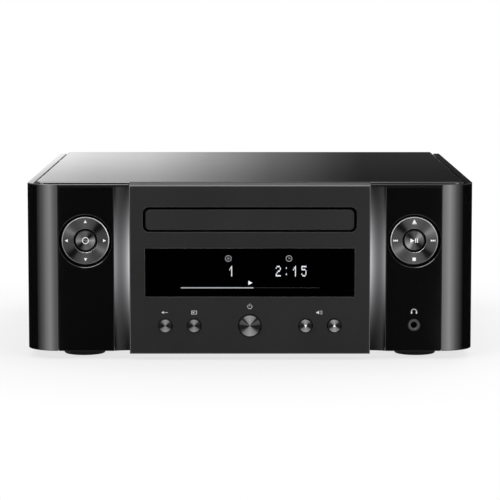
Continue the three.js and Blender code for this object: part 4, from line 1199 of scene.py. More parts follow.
# Both inks carry a painted glow; the key ink's is stronger.
INK = Print("ink_white")
PAINTED_GLOW_INK = Print("ink_key_white_painted_glow", lift=0.45)
LIT = Glow("display_lit")
SOFT_LIT = Glow("display_bar_lit", strength=3.3)
DIM_LIT = Glow("display_dim", strength=0.24)
SIGN_LIT = Glow("display_signs_lit", strength=4.0)
GUIDE = LitGuide("light_guide_lit")
DISPLAY_FACE = Satin(
    "display_face_black",
    colour=(0.001, 0.001, 0.0012),
    roughness=0.85,
    wear=0.0,
    depth=0.000001,
    sheen=0.0,
)
BUSH = Satin("bush_satin_grey", colour=(0.085, 0.085, 0.087), roughness=0.42, sheen=0.15)
MOULDED = Satin(
    "moulded_black_plastic",
    colour=(0.016, 0.016, 0.017),
    worn=(0.06, 0.06, 0.06),
    roughness=0.5,
    depth=0.00003,
)
RUBBER = Satin(
    "foot_black_rubber",
    colour=(0.012, 0.012, 0.0124),
    worn=(0.03, 0.03, 0.03),
    roughness=0.78,
    grain=600.0,
    depth=0.00006,
    sheen=0.2,
)
STEEL = DrawnMetal("chassis_zinc_steel", colour=(0.46, 0.47, 0.48), roughness=0.36)
REAR_STEEL = Satin(
    "rear_textured_black",
    colour=(0.02, 0.02, 0.021),
    worn=(0.2, 0.2, 0.2),
    roughness=0.55,
    grain=1500.0,
    depth=0.00008,
)
LAMINATIONS = DrawnMetal(
    "transformer_laminations", colour=(0.2, 0.2, 0.21), roughness=0.45, stretch=(900.0, 900.0, 12.0)
)
ALUMINIUM = DrawnMetal(
    "sink_extruded_aluminium", colour=(0.6, 0.61, 0.62), roughness=0.38, stretch=(600.0, 6.0, 600.0)
)
IVORY = Satin("gear_ivory_plastic", colour=(0.62, 0.6, 0.52), worn=(0.75, 0.73, 0.66), roughness=0.42)
GOLD = DrawnMetal(
    "nut_gold_plate", colour=(0.72, 0.52, 0.2), roughness=0.24, stretch=(500.0, 40.0, 500.0)
)
NICKEL = DrawnMetal(
    "socket_nickel_plate", colour=(0.62, 0.6, 0.57), roughness=0.24, stretch=(500.0, 40.0, 500.0)
)
RED_PLASTIC = Satin(
    "socket_red_plastic", colour=(0.45, 0.02, 0.02), worn=(0.6, 0.2, 0.2), roughness=0.4
)
WHITE_PLASTIC = Satin(
    "socket_white_plastic", colour=(0.7, 0.7, 0.68), worn=(0.8, 0.8, 0.8), roughness=0.4
)
BOARD = Circuit("board_green_resist")
DARK_BOARD = Circuit("board_dark_resist", colour=(0.008, 0.03, 0.016), top=200.0)

SLOT_FINISH = {
    "case_gloss": CASE,
    "panel_satin": PANEL,
    "cove_metal": COVE,
    "key_metal": DrawnMetal("key_side_metal", colour=(0.16, 0.16, 0.165)),
    "window_black": WINDOW,
    "light_guide_clear": GUIDE,
    "display_board": DARK_BOARD,
    "circuit_board": BOARD,
    "moulded_black": MOULDED,
    "foot_rubber": RUBBER,
    "chassis_steel": STEEL,
    "rear_black_steel": REAR_STEEL,
    "transformer_steel": LAMINATIONS,
    "sink_aluminium": ALUMINIUM,
    "gear_ivory": IVORY,
    "nut_gold": GOLD,
    "socket_nickel": NICKEL,
}


# Printed marks


class Marks:
    """Draws small flat marks, and makes them one thin printed piece."""

    def __init__(self, face: float, thickness: float = 0.04) -> None:
        """Starts with nothing drawn.

        Args:
            face: Place along Y of the surface that carries the print.
            thickness: Thickness of the ink.
        """
        self.body = Body()
        self.ends = (face - thickness, face + thickness)

    def shape(self, loop: Loop, holes: Sequence[Loop] = ()) -> "Marks":
        """Adds a filled shape and returns the marks."""
        self.body.plate(FRONT, loop, self.ends, holes=holes)
        return self

    def bar(self, x: Span, z: Span) -> "Marks":
        """Adds a bar and returns the marks."""
        return self.shape(box_loop(x, z))

    def arrow(self, x: float, z: float, size: float, heading: float) -> "Marks":
        """Adds a triangle.

        Args:
            x: Its middle along X.
            z: Its middle along Z.
            size: Distance from its middle to its tip.
            heading: Way that it points, in degrees from +X towards +Z.

        Returns:
            The marks.
        """
        corners = []
        for turn in (0, 125, 235):
            angle = math.radians(heading + turn)
            corners.append((x + size * math.cos(angle), z + size * math.sin(angle)))
        return self.shape(corners)

    def band(self, x: float, z: float, radius: float, width: float, sweep: Span = (0, 360)) -> "Marks":
        """Adds a ring or a part of one.

        Args:
            x: Its middle along X.
            z: Its middle along Z.
            radius: Radius of its middle line.
            width: Width of the line.
            sweep: First and last angle in degrees.

        Returns:
            The marks.
        """
        outer, inner = radius + width / 2, radius - width / 2
        if sweep[1] - sweep[0] >= 360:
            return self.shape(circle((x, z), outer, 40), [circle((x, z), inner, 40)])
        loop = arc((x, z), (outer, outer), *sweep, 28)
        return self.shape(loop + arc((x, z), (inner, inner), *sweep[::-1], 28))

    def piece(self, name: str, rides: str, finish: Finish = INK) -> None:
        """Makes the printed piece."""
        self.body.piece(name, rides, [finish])


# Sub-assemblies


@dataclass
class CaseShell:
    """Side panels with round front corners, the top plate, and the feet."""

    half_width: float = 140.0
    front: float = -146.3
    rear: float = 135.7
    wall: float = 4.5
    plate_corner: float = 5.5
    plate_gaps: Point = (1.75, 0.6)
    corner: Point = (20.05, 19.0)
    underside: float = 5.1
    brow: float = 108.6
    rim: float = 109.8
    top: float = 111.0
    top_thickness: float = 2.4
    top_inset: Point = (6.2, 5.1)
    panel_edge: float = 75.3
    edge_radius: float = 0.45
    top_edge_radius: float = 1.1
    ledge: Triple = (5.0, 2.0, 106.6)
    foot_radius: float = 13.0
    foot_height: float = 6.2
    foot_places: Triple = (105.2, -117.6, 105.7)
    corner_steps: int = 28

    @property
    def corner_centre(self) -> Point:
        """Middle of the round corner in plan."""
        return (self.half_width - self.corner[0], self.front + self.corner[1])

    def corner_arc(self, inset: float) -> Loop:
        """Round corner on the right, from the side to the front.

        Args:
            inset: Distance inside the outer face.

        Returns:
            Its points.
        """
        radii = (self.corner[0] - inset, self.corner[1] - inset)
        return arc(self.corner_centre, radii, 0, -90, self.corner_steps)

    def plate_arc(self, gaps: Point) -> Loop:
        """Round corner of the top plate on the right, from the side to the front.

        Args:
            gaps: Distances outside the plate's side and its front.

        Returns:
            Its points.
        """
        side, front = self.top_inset
        centre = (self.half_width - side - self.plate_corner, self.front + front + self.plate_corner)
        radii = (self.plate_corner + gaps[0], self.plate_corner + gaps[1])
        return arc(centre, radii, 0, -90, self.corner_steps)

    def side_panel(self, hand: Hand) -> None:
        """Builds one side panel.

        Args:
            hand: Its side.
        """
        outer, inner = self.corner_arc(0), self.corner_arc(self.wall)[::-1]
        inner_x = self.half_width - self.wall
        wall = [(self.half_width, self.rear), *outer, *inner, (inner_x, self.rear)]
        return_y = self.front + self.wall
        brow = [
            (self.half_width, self.rear),
            *outer,
            (self.panel_edge, self.front), (self.panel_edge, return_y),
            *self.plate_arc(self.plate_gaps)[::-1],
            (self.half_width - self.top_inset[0] + self.plate_gaps[0], self.rear),
        ]
        reach, thickness, ledge_top = self.ledge
        ledge_x = sorted((hand.value * (inner_x - reach), hand.value * (inner_x + self.wall / 2)))
        body = Body()
        body.plate(UP, mirrored(wall, hand), (self.underside, self.brow), (self.edge_radius, 0.0))
        body.plate(UP, mirrored(brow, hand), (self.rim, self.brow), (self.edge_radius, 0.0))
        ledge_y = (self.front + self.corner[1], self.rear - 1.5)
        body.block(tuple(ledge_x), ledge_y, (ledge_top - thickness, ledge_top))
        node = f"{hand.word}_side_panel"
        body.piece(f"{node}_shell", "root", [CASE], [node])

    def top_plate(self) -> None:
        """Builds the top plate."""
        right = self.plate_arc((0, 0))
        left = [(-x, y) for x, y in right][::-1]
        edge_x = self.half_width - self.top_inset[0]
        outline = [(edge_x, self.rear), *right, *left, (-edge_x, self.rear)]
        ends = (self.top, self.top - self.top_thickness)
        body = Body().plate(UP, outline, ends, (self.top_edge_radius, 0.3), steps=5)
        body.piece("top_plate_cover", "root", [TOP], ["top_plate"])

    def foot(self, name: str, x: float, y: float) -> None:
        """Builds one foot.

        Args:
            name: Node that it stands for.
            x: Place of its axis along X.
            y: Place of its axis along Y.
        """
        radius, height = self.foot_radius, self.foot_height
        hollow = [(0, 0.6, 0), (radius - 4.2, 0.6, 0.2), (radius - 4.8, 0, 0.2)]
        rim = [(radius, 0, 0.8), (radius, height, 0.3), (0, height, 0)]
        body = Body().turned(UP, softened(hollow + rim), (x, y), 64)
        body.piece(f"{name}_pad", "root", [RUBBER], [name])

    def build(self) -> None:
        """Builds every piece of the case."""
        for hand in Hand:
            self.side_panel(hand)
            x, front, rear = self.foot_places
            self.foot(f"foot_front_{hand.word}", hand.value * x, front)
            self.foot(f"foot_rear_{hand.word}", hand.value * x, rear)
        self.top_plate()


@dataclass(frozen=True)
class Key:
    """One push key of the centre panel."""

    name: str
    x: float
    radius: float = 4.3
    groove: float = 0.42
    mark: Optional[float] = None


@dataclass
class CentrePanel:
    """Front panel with the tray slot, the display window, the keys and the tray door."""

    face: float = -150.3
    half_width: float = 75.0
    z: Span = (3.9, 111.0)
    thickness: float = 3.0
    side_edge: float = 0.6
    top_chamfer: float = 2.04
    top_slopes: Triple = (1.5, 0.86, 0.5)
    bottom_chamfer: float = 0.6
    hole_edge: float = 0.06
    shelf: Point = (108.6, -141.5)
    skirt: Quad = (70.0, 5.4, 107.7, 2.0)
    skirt_back: float = -141.8
    slot: Quad = (66.7, 80.25, 96.05, 4.0)
    door: Quad = (64.75, 81.75, 94.4, 2.9)
    window: Triple = (65.2, 40.0, 70.1)
    window_thickness: float = 2.2
    seam: float = 0.3
    key_z: float = 21.7
    key_face: float = -151.5
    key_collar: Point = (1.2, 1.0)
    key_stem: Point = (2.0, -144.3)
    key_mark: float = 1.15
    large_key: float = 5.0
    sign_z: Point = (30.0, 33.7)
    depths: Sequence[float] = (0.0, 0.04, 0.1, 0.2, 0.32, 0.5, 0.6, 1.2, 1.94, 2.02, 2.12, 3.0)
    # Painted reflection of the keys: grey by angle about each key's centre, light and dark sectors that
    # stand in for the highlights of spun metal.
    key_painted_reflection: tuple[Point, ...] = (
        (0.0, 0.437), (0.17, 0.34), (0.24, 0.194), (0.3, 0.057), (0.4, 0.032), (0.6, 0.021),
        (0.66, 0.097), (0.73, 0.275), (1.0, 0.373),
    )
    power_painted_reflection: tuple[Point, ...] = (
        (0.0, 0.454), (0.167, 0.34), (0.22, 0.113), (0.236, 0.006), (0.26, 0.006), (0.285, 0.097),
        (0.34, 0.178), (0.42, 0.162), (0.48, 0.029), (0.62, 0.029), (0.7, 0.113), (0.77, 0.308),
        (1.0, 0.421),
    )
    keys: Sequence[Key] = (
        Key("back_button", -52.75),
        Key("input_button", -34.8),
        Key("power_button", 0.0, 6.9, 0.5),
        Key("volume_down_button", 34.8, mark=-90.0),
        Key("volume_up_button", 52.75, mark=90.0),
    )

    def holes(self) -> list[Loop]:
        """Outlines of the openings in the face.

        Returns:
            The tray slot, the window and the holes of the keys.
        """
        half, low, high, radius = self.slot
        loops = [rounded_box((-half, half), (low, high), radius, 10)]
        half, low, high = self.window
        gap = self.seam
        loops.append(rounded_box((-half - gap, half + gap), (low - gap, high + gap), 0.35, 3))
        for key in self.keys:
            loops.append(circle((key.x, self.key_z), key.radius + key.groove, 56))
        return loops

    def plate(self) -> None:
        """Builds the front panel with its shelf and skirt."""

        def inset(depth: float, radius: float) -> float:
            """Inset of a round edge at a depth behind the face."""
            return radius * (1 - math.sqrt(1 - (1 - min(1.0, depth / radius)) ** 2))

        holes = self.holes()
        levels = []
        steep, gentle, bend = self.top_slopes
        for depth in self.depths:
            side, hole = inset(depth, self.side_edge), inset(depth, self.hole_edge)
            low = max(0.0, self.bottom_chamfer - depth)
            high = self.top_chamfer - min(depth, bend) * steep - max(0.0, depth - bend) * gentle
            high = max(0.0, high)
            half = self.half_width - side
            outer = box_loop((-half, half), (self.z[0] + low, self.z[1] - high))
            levels.append((self.face + depth, [outer, *(offset(loop, -hole) for loop in holes)]))
        body = Body().layers(FRONT, levels)
        back = self.face + self.thickness
        low, shelf_back = self.shelf
        body.block((-self.half_width, self.half_width), (back, shelf_back), (low, self.z[1]))
        half, bottom, top, wall = self.skirt
        outer = box_loop((-half, half), (bottom, top))
        body.plate(FRONT, outer, (back, self.skirt_back), holes=[offset(outer, wall)])
        body.piece("centre_panel_front", "root", [PANEL], ["centre_panel"])

    def tray_door(self) -> None:
        """Builds the front of the disc tray."""
        half, low, high, radius = self.door
        outline = rounded_box((-half, half), (low, high), radius, 12)
        body = Body().plate(FRONT, outline, (self.face, self.face + self.thickness), (0.22, 0.2))
        body.piece("tray_door_front", "tray", [DOOR], ["tray_door"])

    def display_window(self) -> None:
        """Builds the clear window over the display."""
        half, low, high = self.window
        outline = rounded_box((-half, half), (low, high), 0.3, 3)
        body = Body().plate(FRONT, outline, (self.face, self.face + self.window_thickness), (0.15, 0.1))
        body.piece("display_window_pane", "root", [WINDOW], ["display_window"])

    def push_key(self, key: Key) -> None:
        """Builds one push key.

        Args:
            key: The key.
        """
        face, radius = self.key_face, key.radius
        back = self.face + self.thickness + self.seam
        wider, collar = self.key_collar
        stem, stem_end = self.key_stem
        profile = softened(
            [
                (0, face + 0.12, 0), (radius - 0.4, face, 0.1), (radius, face + 0.18, 0.12),
                (radius, back, 0), (radius + wider, back, 0), (radius + wider, back + collar, 0.1),
                (stem, back + collar, 0), (stem, stem_end, 0), (0, stem_end, 0),
            ]
        )
        body = Body().turned(FRONT, profile, (key.x, self.key_z), 72)
        centre = (key.x, face, self.key_z)
        # Painted reflection sectors, the power key's own ones.
        painted_reflection = self.power_painted_reflection if radius > self.large_key else self.key_painted_reflection
        finish = SpunMetal(f"{key.name}_spun_metal", centre=centre, spread="Mirrored", stops=painted_reflection)
        body.piece(f"{key.name}_cap", key.name, [finish], [key.name])
        if key.mark is not None:
            marks = Marks(face + 0.1).arrow(key.x, self.key_z, self.key_mark, key.mark)
            marks.piece(f"{key.name}_mark", key.name, PAINTED_GLOW_INK)

    def marks(self) -> None:
        """Prints the small marks above the keys."""
        z, power_z = self.sign_z
        marks = Marks(self.face)
        marks.band(0, power_z, 1.35, 0.24, (125, 415)).bar((-0.12, 0.12), (33.9, 35.6))
        marks.arrow(-54.2, z, 0.95, 180).bar((-54.2, -51.2), (z - 0.13, z + 0.13))
        box = box_loop((-36.5, -33.1), (z - 1.1, z + 1.1))
        marks.shape(box, [offset(box, 0.25)])
        marks.arrow(-35.2, z, 0.7, 0)
        low = [(41.5, z - 0.4), (42.2, z - 0.4), (43.2, z - 1.2)]
        marks.shape(low + [(43.2, z + 1.2), (42.2, z + 0.4), (41.5, z + 0.4)])
        marks.band(43.2, z, 1.1, 0.2, (-48, 48)).band(43.2, z, 1.9, 0.2, (-48, 48))
        marks.piece("panel_marks", "root")

    def build(self) -> None:
        """Builds every piece of the centre panel."""
        self.plate()
        self.tray_door()
        self.display_window()
        for key in self.keys:
            self.push_key(key)
        self.marks()


class Dots(Enum):
    """Rows of dots of the display's figures, from the top."""

    ONE = ("..#..", ".##..", "#.#..", "..#..", "..#..", "..#..", "..#..")
    TWO = (".###.", "#...#", "....#", "..##.", ".#...", "#....", "#####")
    COLON = (".....", "..#..", ".....", ".....", ".....", "..#..", ".....")
    FIVE = ("#####", "#....", "####.", "....#", "....#", "#...#", ".###.")


@dataclass
class DisplayFace:
    """Black face behind the window, with its lit figures and bar."""

    mask: Triple = (65.0, 40.2, 69.9)
    face: float = -147.84
    thickness: float = 0.03
    ink_gap: float = 0.05
    dot: Point = (0.63, 0.96)
    dot_fill: float = 0.84
    figure_top: float = 59.05
    figures: Sequence[tuple[Dots, float]] = (
        (Dots.ONE, -12.85), (Dots.TWO, 16.2), (Dots.COLON, 21.25), (Dots.ONE, 26.9),
        (Dots.FIVE, 32.2),
    )
    sign_x: Point = (-13.4, 24.4)
    sign_z: float = 63.7
    bar: Quad = (-43.1, 2.2, 44.8, 45.8)
    bar_end: float = 43.5

    def figure(self, marks: Marks, dots: Dots, x: float) -> None:
        """Draws one figure.

        Args:
            marks: Marks to draw in.
            dots: The figure.
            x: Its left end.
        """
        wide, high = self.dot
        for row, line in enumerate(dots.value):
            for column, kind in enumerate(line):
                if kind == "#":
                    left = x + column * wide
                    top = self.figure_top - row * high
                    marks.bar((left, left + wide * self.dot_fill), (top - high * self.dot_fill, top))

    def marks(self) -> Marks:
        """Empty marks just in front of the face."""
        return Marks(self.face - self.ink_gap, self.thickness)

    def build(self) -> None:
        """Builds the face and what is lit on it."""
        half, low, high = self.mask
        ends = (self.face, self.face + self.thickness)
        body = Body().plate(FRONT, box_loop((-half, half), (low, high)), ends)
        body.piece("display_face", "root", [DISPLAY_FACE])
        lit = self.marks()
        for dots, x in self.figures:
            self.figure(lit, dots, x)
        lit.arrow(0.0, 48.4, 1.6, 0)
        lit.piece("display_figures", "root", LIT)
        left, right, bottom, top = self.bar
        bar = self.marks().bar((left, right), (bottom + 0.15, top - 0.15))
        bar.piece("display_track_bar", "root", SOFT_LIT)
        dim = self.marks().bar((right + 0.4, self.bar_end), (bottom + 0.38, top - 0.38))
        dim.piece("display_track_line", "root", DIM_LIT)
        (disc_x, clock_x), z = self.sign_x, self.sign_z
        signs = self.marks().band(disc_x, z, 1.8, 0.3).band(disc_x, z, 0.5, 0.25)
        signs.band(clock_x, z, 1.8, 0.3).bar((24.27, 24.53), (63.6, 64.8))
        signs.bar((24.3, 25.3), (63.47, 63.73))
        signs.piece("display_signs", "root", SIGN_LIT)


@dataclass
class PadSide:
    """One side of the front: insert with its round well, four-way ring, middle key and cove."""

    hand: Hand
    ring_name: str
    middle_name: str
    x: Span = (84.9, 119.65)
    z: Span = (5.1, 108.3)
    front: float = -146.3
    back: float = -141.8
    pad: Point = (102.7, 74.4)
    rim_radius: float = 16.8
    floor_radius: float = 16.3
    recess: float = 2.5
    ring: Point = (7.55, 14.96)
    ring_depth: float = 4.4
    lug: Triple = (12.3, 14.1, -134.5)
    lug_half: float = 3.0
    lug_hole: Point = (-137.1, 1.2)
    middle_radius: float = 6.4
    middle_depth: float = 2.6
    middle_stem: Point = (4.0, -133.2)
    mark_reach: float = 11.7
    jack: Triple = (21.6, 3.55, 2.05)
    jack_depths: Triple = (-146.5, -138.5, -132.6)
    jack_gap: float = 0.15
    jack_block: Point = (6.0, 5.0)
    jack_sign_z: float = 30.0
    cove: Span = (70.3, 84.6)
    cove_depth: float = 3.4
    cove_steps: int = 32
    guide: Quad = (74.2, 20.0, 95.0, 3.1)
    guide_front: float = -147.0
    # Painted light of the round keys: sectors of painted reflection set by angle, a painted highlight
    # on the ring's bevels and painted shade on the middle key's.
    reflection_turn: float = 45.0
    ring_bevel_highlight: Colour = (0.6, 0.6, 0.61)
    middle_bevel_shade: Colour = (0.02, 0.02, 0.021)
    ring_painted_reflection: tuple[Point, ...] = (
        (0.0, 0.008), (0.04, 0.016), (0.09, 0.068), (0.17, 0.095), (0.26, 0.088), (0.34, 0.163),
        (0.42, 0.286), (0.5, 0.102), (0.58, 0.075), (0.75, 0.109), (0.91, 0.068), (0.96, 0.016),
        (1.0, 0.008),
    )
    middle_painted_reflection: tuple[tuple[Point, ...], ...] = (
        (
            (0.0, 0.005), (0.083, 0.035), (0.167, 0.245), (0.25, 0.507), (0.333, 0.333),
            (0.417, 0.263), (0.5, 0.158), (0.583, 0.123), (0.75, 0.14), (0.833, 0.105),
            (0.917, 0.035), (1.0, 0.005),
        ),
        (
            (0.0, 0.007), (0.083, 0.028), (0.167, 0.095), (0.25, 0.15), (0.333, 0.228),
            (0.417, 0.35), (0.5, 0.42), (0.583, 0.242), (0.667, 0.077), (0.75, 0.098),
            (0.833, 0.058), (1.0, 0.007),
        ),
    )

    @property
    def centre(self) -> Point:
        """Axis of the round keys."""
        return (self.hand.value * self.pad[0], self.pad[1])

    @property
    def key_face(self) -> float:
        """Place along Y of the faces of the round keys."""
        return self.front + self.recess

    @property
    def spin(self) -> dict[str, object]:
        """Centre, turn and sense of the round keys' metal and its painted reflection."""
        x, z = self.centre
        return {"centre": (x, self.key_face, z), "turn": self.reflection_turn, "sense": -self.hand.value}

    def insert(self) -> None:
        """Builds the gloss insert."""
        outer = mirrored(box_loop(self.x, self.z), self.hand)
        front, rim = self.front, self.rim_radius
        ends = [(front, 0.12, rim), (front + 0.04, 0.04, rim - 0.05)]
        ends += [(front + 0.24, 0.0, rim - 0.28), (front + 0.3, 0.0, rim - 0.31)]
        ends += [(front + self.recess, 0.0, self.floor_radius), (self.back, 0.0, self.floor_radius)]
        levels = []
        for depth, inset, radius in ends:
            loops = [offset(outer, inset), circle(self.centre, radius, 96)]
            if self.hand is Hand.RIGHT:
                radius = self.jack[1] + self.jack_gap + inset
                loops.append(circle((self.pad[0], self.jack[0]), radius, 40))
            levels.append((depth, loops))
        node = f"{self.hand.word}_fascia_insert"
        Body().layers(FRONT, levels).piece(f"{node}_face", "root", [CASE], [node], sharp=25.0)

    def four_way_ring(self) -> None:
        """Builds the ring and its lugs."""
        inner, outer = self.ring
        face, back = self.key_face, self.key_face + self.ring_depth
        profile = softened(
            [
                (inner, face + 0.08, 0.03), (inner + 0.09, face, 0.03), (outer - 0.62, face, 0.15),
                (outer - 0.12, face + 0.19, 0.1), (outer, face + 0.4, 0.1), (outer, back - 1.5, 0),
                (outer + 1, back - 1.5, 0), (outer + 1, back, 0), (inner, back, 0),
            ],
            6,
        )
        body = Body().turned(FRONT, profile, self.centre, 120)
        x, z = self.centre
        near, far, lug_back = self.lug
        hole = circle((x, self.lug_hole[0]), self.lug_hole[1], 24)
        lug = box_loop((x - self.lug_half, x + self.lug_half), (back - 0.7, lug_back))
        for way in (-1, 1):
            ends = sorted((z + way * near, z + way * far))
            body.plate(UP, lug, tuple(ends), holes=[hole])
        name = self.ring_name
        finish = SpunMetal(f"{name}_spun_metal", stops=self.ring_painted_reflection, cut=self.ring_bevel_highlight, **self.spin)
        body.piece(f"{name}_cap", name, [finish], [name])

    def middle_key(self) -> None:
        """Builds the key in the middle of the ring."""
        face, radius = self.key_face, self.middle_radius
        back = face + self.middle_depth
        stem, stem_end = self.middle_stem
        profile = softened(
            [
                (0, face + 0.15, 0), (radius - 0.45, face, 0.1), (radius, face + 0.2, 0.12),
                (radius, back, 0), (stem, back, 0), (stem, stem_end, 0), (0, stem_end, 0),
            ]
        )
        body = Body().turned(FRONT, profile, self.centre, 72)
        name = self.middle_name
        painted_reflection = self.middle_painted_reflection[0 if self.hand is Hand.LEFT else 1]
        finish = SpunMetal(f"{name}_spun_metal", stops=painted_reflection, cut=self.middle_bevel_shade, **self.spin)
        body.piece(f"{name}_cap", name, [finish], [name])

    def marks(self) -> None:
        """Prints the marks of the round keys."""
        x, z = self.centre
        ring, middle = Marks(self.key_face - 0.02), Marks(self.key_face + 0.07)
        reach = self.mark_reach
        if self.hand is Hand.LEFT:
            for heading, (u, v) in zip((0, 90, 180, 270), circle((x, z), reach, 4)):
                ring.arrow(u, v, 1.2, heading)
            middle.band(x, z, 1.9, 0.4)
        else:
            ring.arrow(x, z + reach + 0.2, 1.4, 90)
            ring.bar((x - 1.4, x + 1.4), (z + reach - 1.3, z + reach - 0.85))
            ring.bar((x - 1.05, x + 1.05), (z - reach - 1.05, z - reach + 1.05))
            for way in (-1, 1):
                for far in (reach - 0.9, reach + 0.4):
                    ring.arrow(x + way * far, z, 0.9, 90 - 90 * way)
                bar = sorted((x + way * (reach + 1.2), x + way * (reach + 1.5)))
                ring.bar(tuple(bar), (z - 0.75, z + 0.75))
            middle.arrow(x - 1.5, z, 1.6, 0)
            for left in (0.6, 1.75):
                middle.bar((x + left, x + left + 0.55), (z - 1.35, z + 1.35))
        ring.piece(f"{self.ring_name}_marks", self.ring_name, PAINTED_GLOW_INK)
        middle.piece(f"{self.middle_name}_mark", self.middle_name, PAINTED_GLOW_INK)

    def cove_strip(self) -> None:
        """Builds the hollow metallic strip beside the centre panel."""
        inner, outer = self.cove
        radii = (outer - inner, self.cove_depth)
        hollow = arc((inner, self.front), radii, 0, 90, self.cove_steps)
        outline = [*hollow, (inner, self.back), (outer, self.back)]
        body = Body().plate(UP, mirrored(outline, self.hand), self.z)
        node = f"{self.hand.word}_cove"
        body.piece(f"{node}_strip", "root", [COVE], [node], sharp=50.0)
        far, low, high, depth = self.guide
        span = sorted((self.hand.value * inner, self.hand.value * far))
        outline = box_loop(tuple(span), (self.guide_front, self.guide_front + depth))
        guide = Body().plate(UP, outline, (low, high), (0.3, 0.3))
        node = f"{self.hand.word}_light_guide"
        guide.piece(f"{node}_strip", "root", [GUIDE], [node])

    def headphone_jack(self) -> None:
        """Builds the headphone socket and its mark."""
        x = self.pad[0]
        z, ring, hole = self.jack
        front, middle, end = self.jack_depths
        collar = [(hole, front + 0.15, 0.2), (ring, front, 0.35), (ring, middle, 0), (hole, middle, 0)]
        bush = Body().turned(FRONT, softened(collar), (x, z), 56)
        bush.piece("headphone_jack_bush", "root", [BUSH])
        half_x, half_z = self.jack_block
        square = box_loop((x - half_x, x + half_x), (z - half_z, z + half_z))
        block = Body().plate(FRONT, square, (middle, end), holes=[circle((x, z), hole, 40)])
        block.piece("headphone_jack_socket", "root", [MOULDED], ["headphone_jack"])
        inner, outer = hole - 0.02, hole + 0.5
        lining = [
            (inner, front + 0.9), (outer, front + 0.02), (outer, front + 1.2), (inner, front + 1.4)
        ]
        contact = Body().turned(FRONT, lining, (x, z), 48)
        contact.piece("headphone_jack_contact", "root", [NICKEL])
        sign_z = self.jack_sign_z
        marks = Marks(self.front).band(x, sign_z, 1.6, 0.35, (0, 180))
        for left in (-1.95, 1.15):
            marks.bar((x + left, x + left + 0.8), (sign_z - 1.3, sign_z + 0.1))
        marks.piece("headphone_mark", "root")

    def build(self) -> None:
        """Builds every piece of this side."""
        self.insert()
        self.four_way_ring()
        self.middle_key()
        self.marks()
        self.cove_strip()
        if self.hand is Hand.RIGHT:
            self.headphone_jack()


@dataclass
class DiscTray:
    """Sliding tray with its two disc seats, slot, runners and rack."""

    half_width: float = 64.5
    y: Span = (-147.0, 22.7)
    disc_y: float = -71.3
    underside: float = 84.0
    small_floor: float = 85.3
    floor: float = 86.5
    top: float = 88.5
    seat_radius: float = 60.5
    small_radius: float = 40.5
    slot_half: float = 14.5
    slot: Span = (-89.3, -9.3)
    runner: Point = (3.5, 1.5)
    rack_line: float = 52.0
    rack_bottom: float = 80.6
    module: float = 1.0
    pressure_angle: float = 20.0
    foot_depth: float = 1.25
    tooth_play: float = 0.08
    rack_width: float = 3.0
    case_front: float = -146.3
    gear_depth: float = 22.0
    travel: float = 140.0

    def keyhole(self, radius: float) -> Loop:
        """Round seat joined with the slot behind it.

        Args:
            radius: Radius of the seat.

        Returns:
            Their common outline.
        """
        opening = math.degrees(math.acos(self.slot_half / radius))
        loop = arc((0, self.disc_y), (radius, radius), opening, -180 - opening, 96)
        return loop + [(-self.slot_half, self.slot[1]), (self.slot_half, self.slot[1])]

    def rack(self, body: Body) -> None:
        """Adds the toothed bar.

        Args:
            body: Body to add it to.
        """
        pitch = math.pi * self.module
        lean = self.module * math.tan(math.radians(self.pressure_angle))
        half_tooth = pitch / 4 - self.tooth_play
        count = math.ceil(self.travel / pitch) + 2
        start = self.case_front + self.gear_depth - pitch
        tip, root = self.rack_line - self.module, self.rack_line + self.module * self.foot_depth
        back = root + self.rack_width
        loop: Loop = [(back, start - pitch / 2), (root, start - pitch / 2)]
        for index in range(count):
            y = start + index * pitch
            loop += [(root, y - half_tooth - lean * self.foot_depth), (tip, y - half_tooth + lean)]
            loop += [(tip, y + half_tooth - lean), (root, y + half_tooth + lean * self.foot_depth)]
        end = start + (count - 0.5) * pitch
        loop += [(root, end), (back, end)]
        body.plate(UP, loop, (self.rack_bottom, self.underside))

    def build(self) -> None:
        """Builds the tray."""
        outline = rounded_box((-self.half_width, self.half_width), self.y, 1.2, 4)
        slot = box_loop((-self.slot_half, self.slot_half), self.slot)
        body = Body()
        body.plate(UP, outline, (self.small_floor, self.underside), (0.0, 0.3), holes=[slot])
        body.plate(UP, outline, (self.floor, self.small_floor), holes=[self.keyhole(self.small_radius)])
        body.plate(
            UP, outline, (self.top, self.floor), (0.35, 0.0), holes=[self.keyhole(self.seat_radius)]
        )
        width, height = self.runner
        for hand in Hand:
            ends = sorted((hand.value * (self.half_width - width), hand.value * self.half_width))
            body.block(tuple(ends), self.y, (self.underside - height, self.underside))
        self.rack(body)
        body.piece("disc_tray_plate", "tray", [MOULDED], ["disc_tray"])


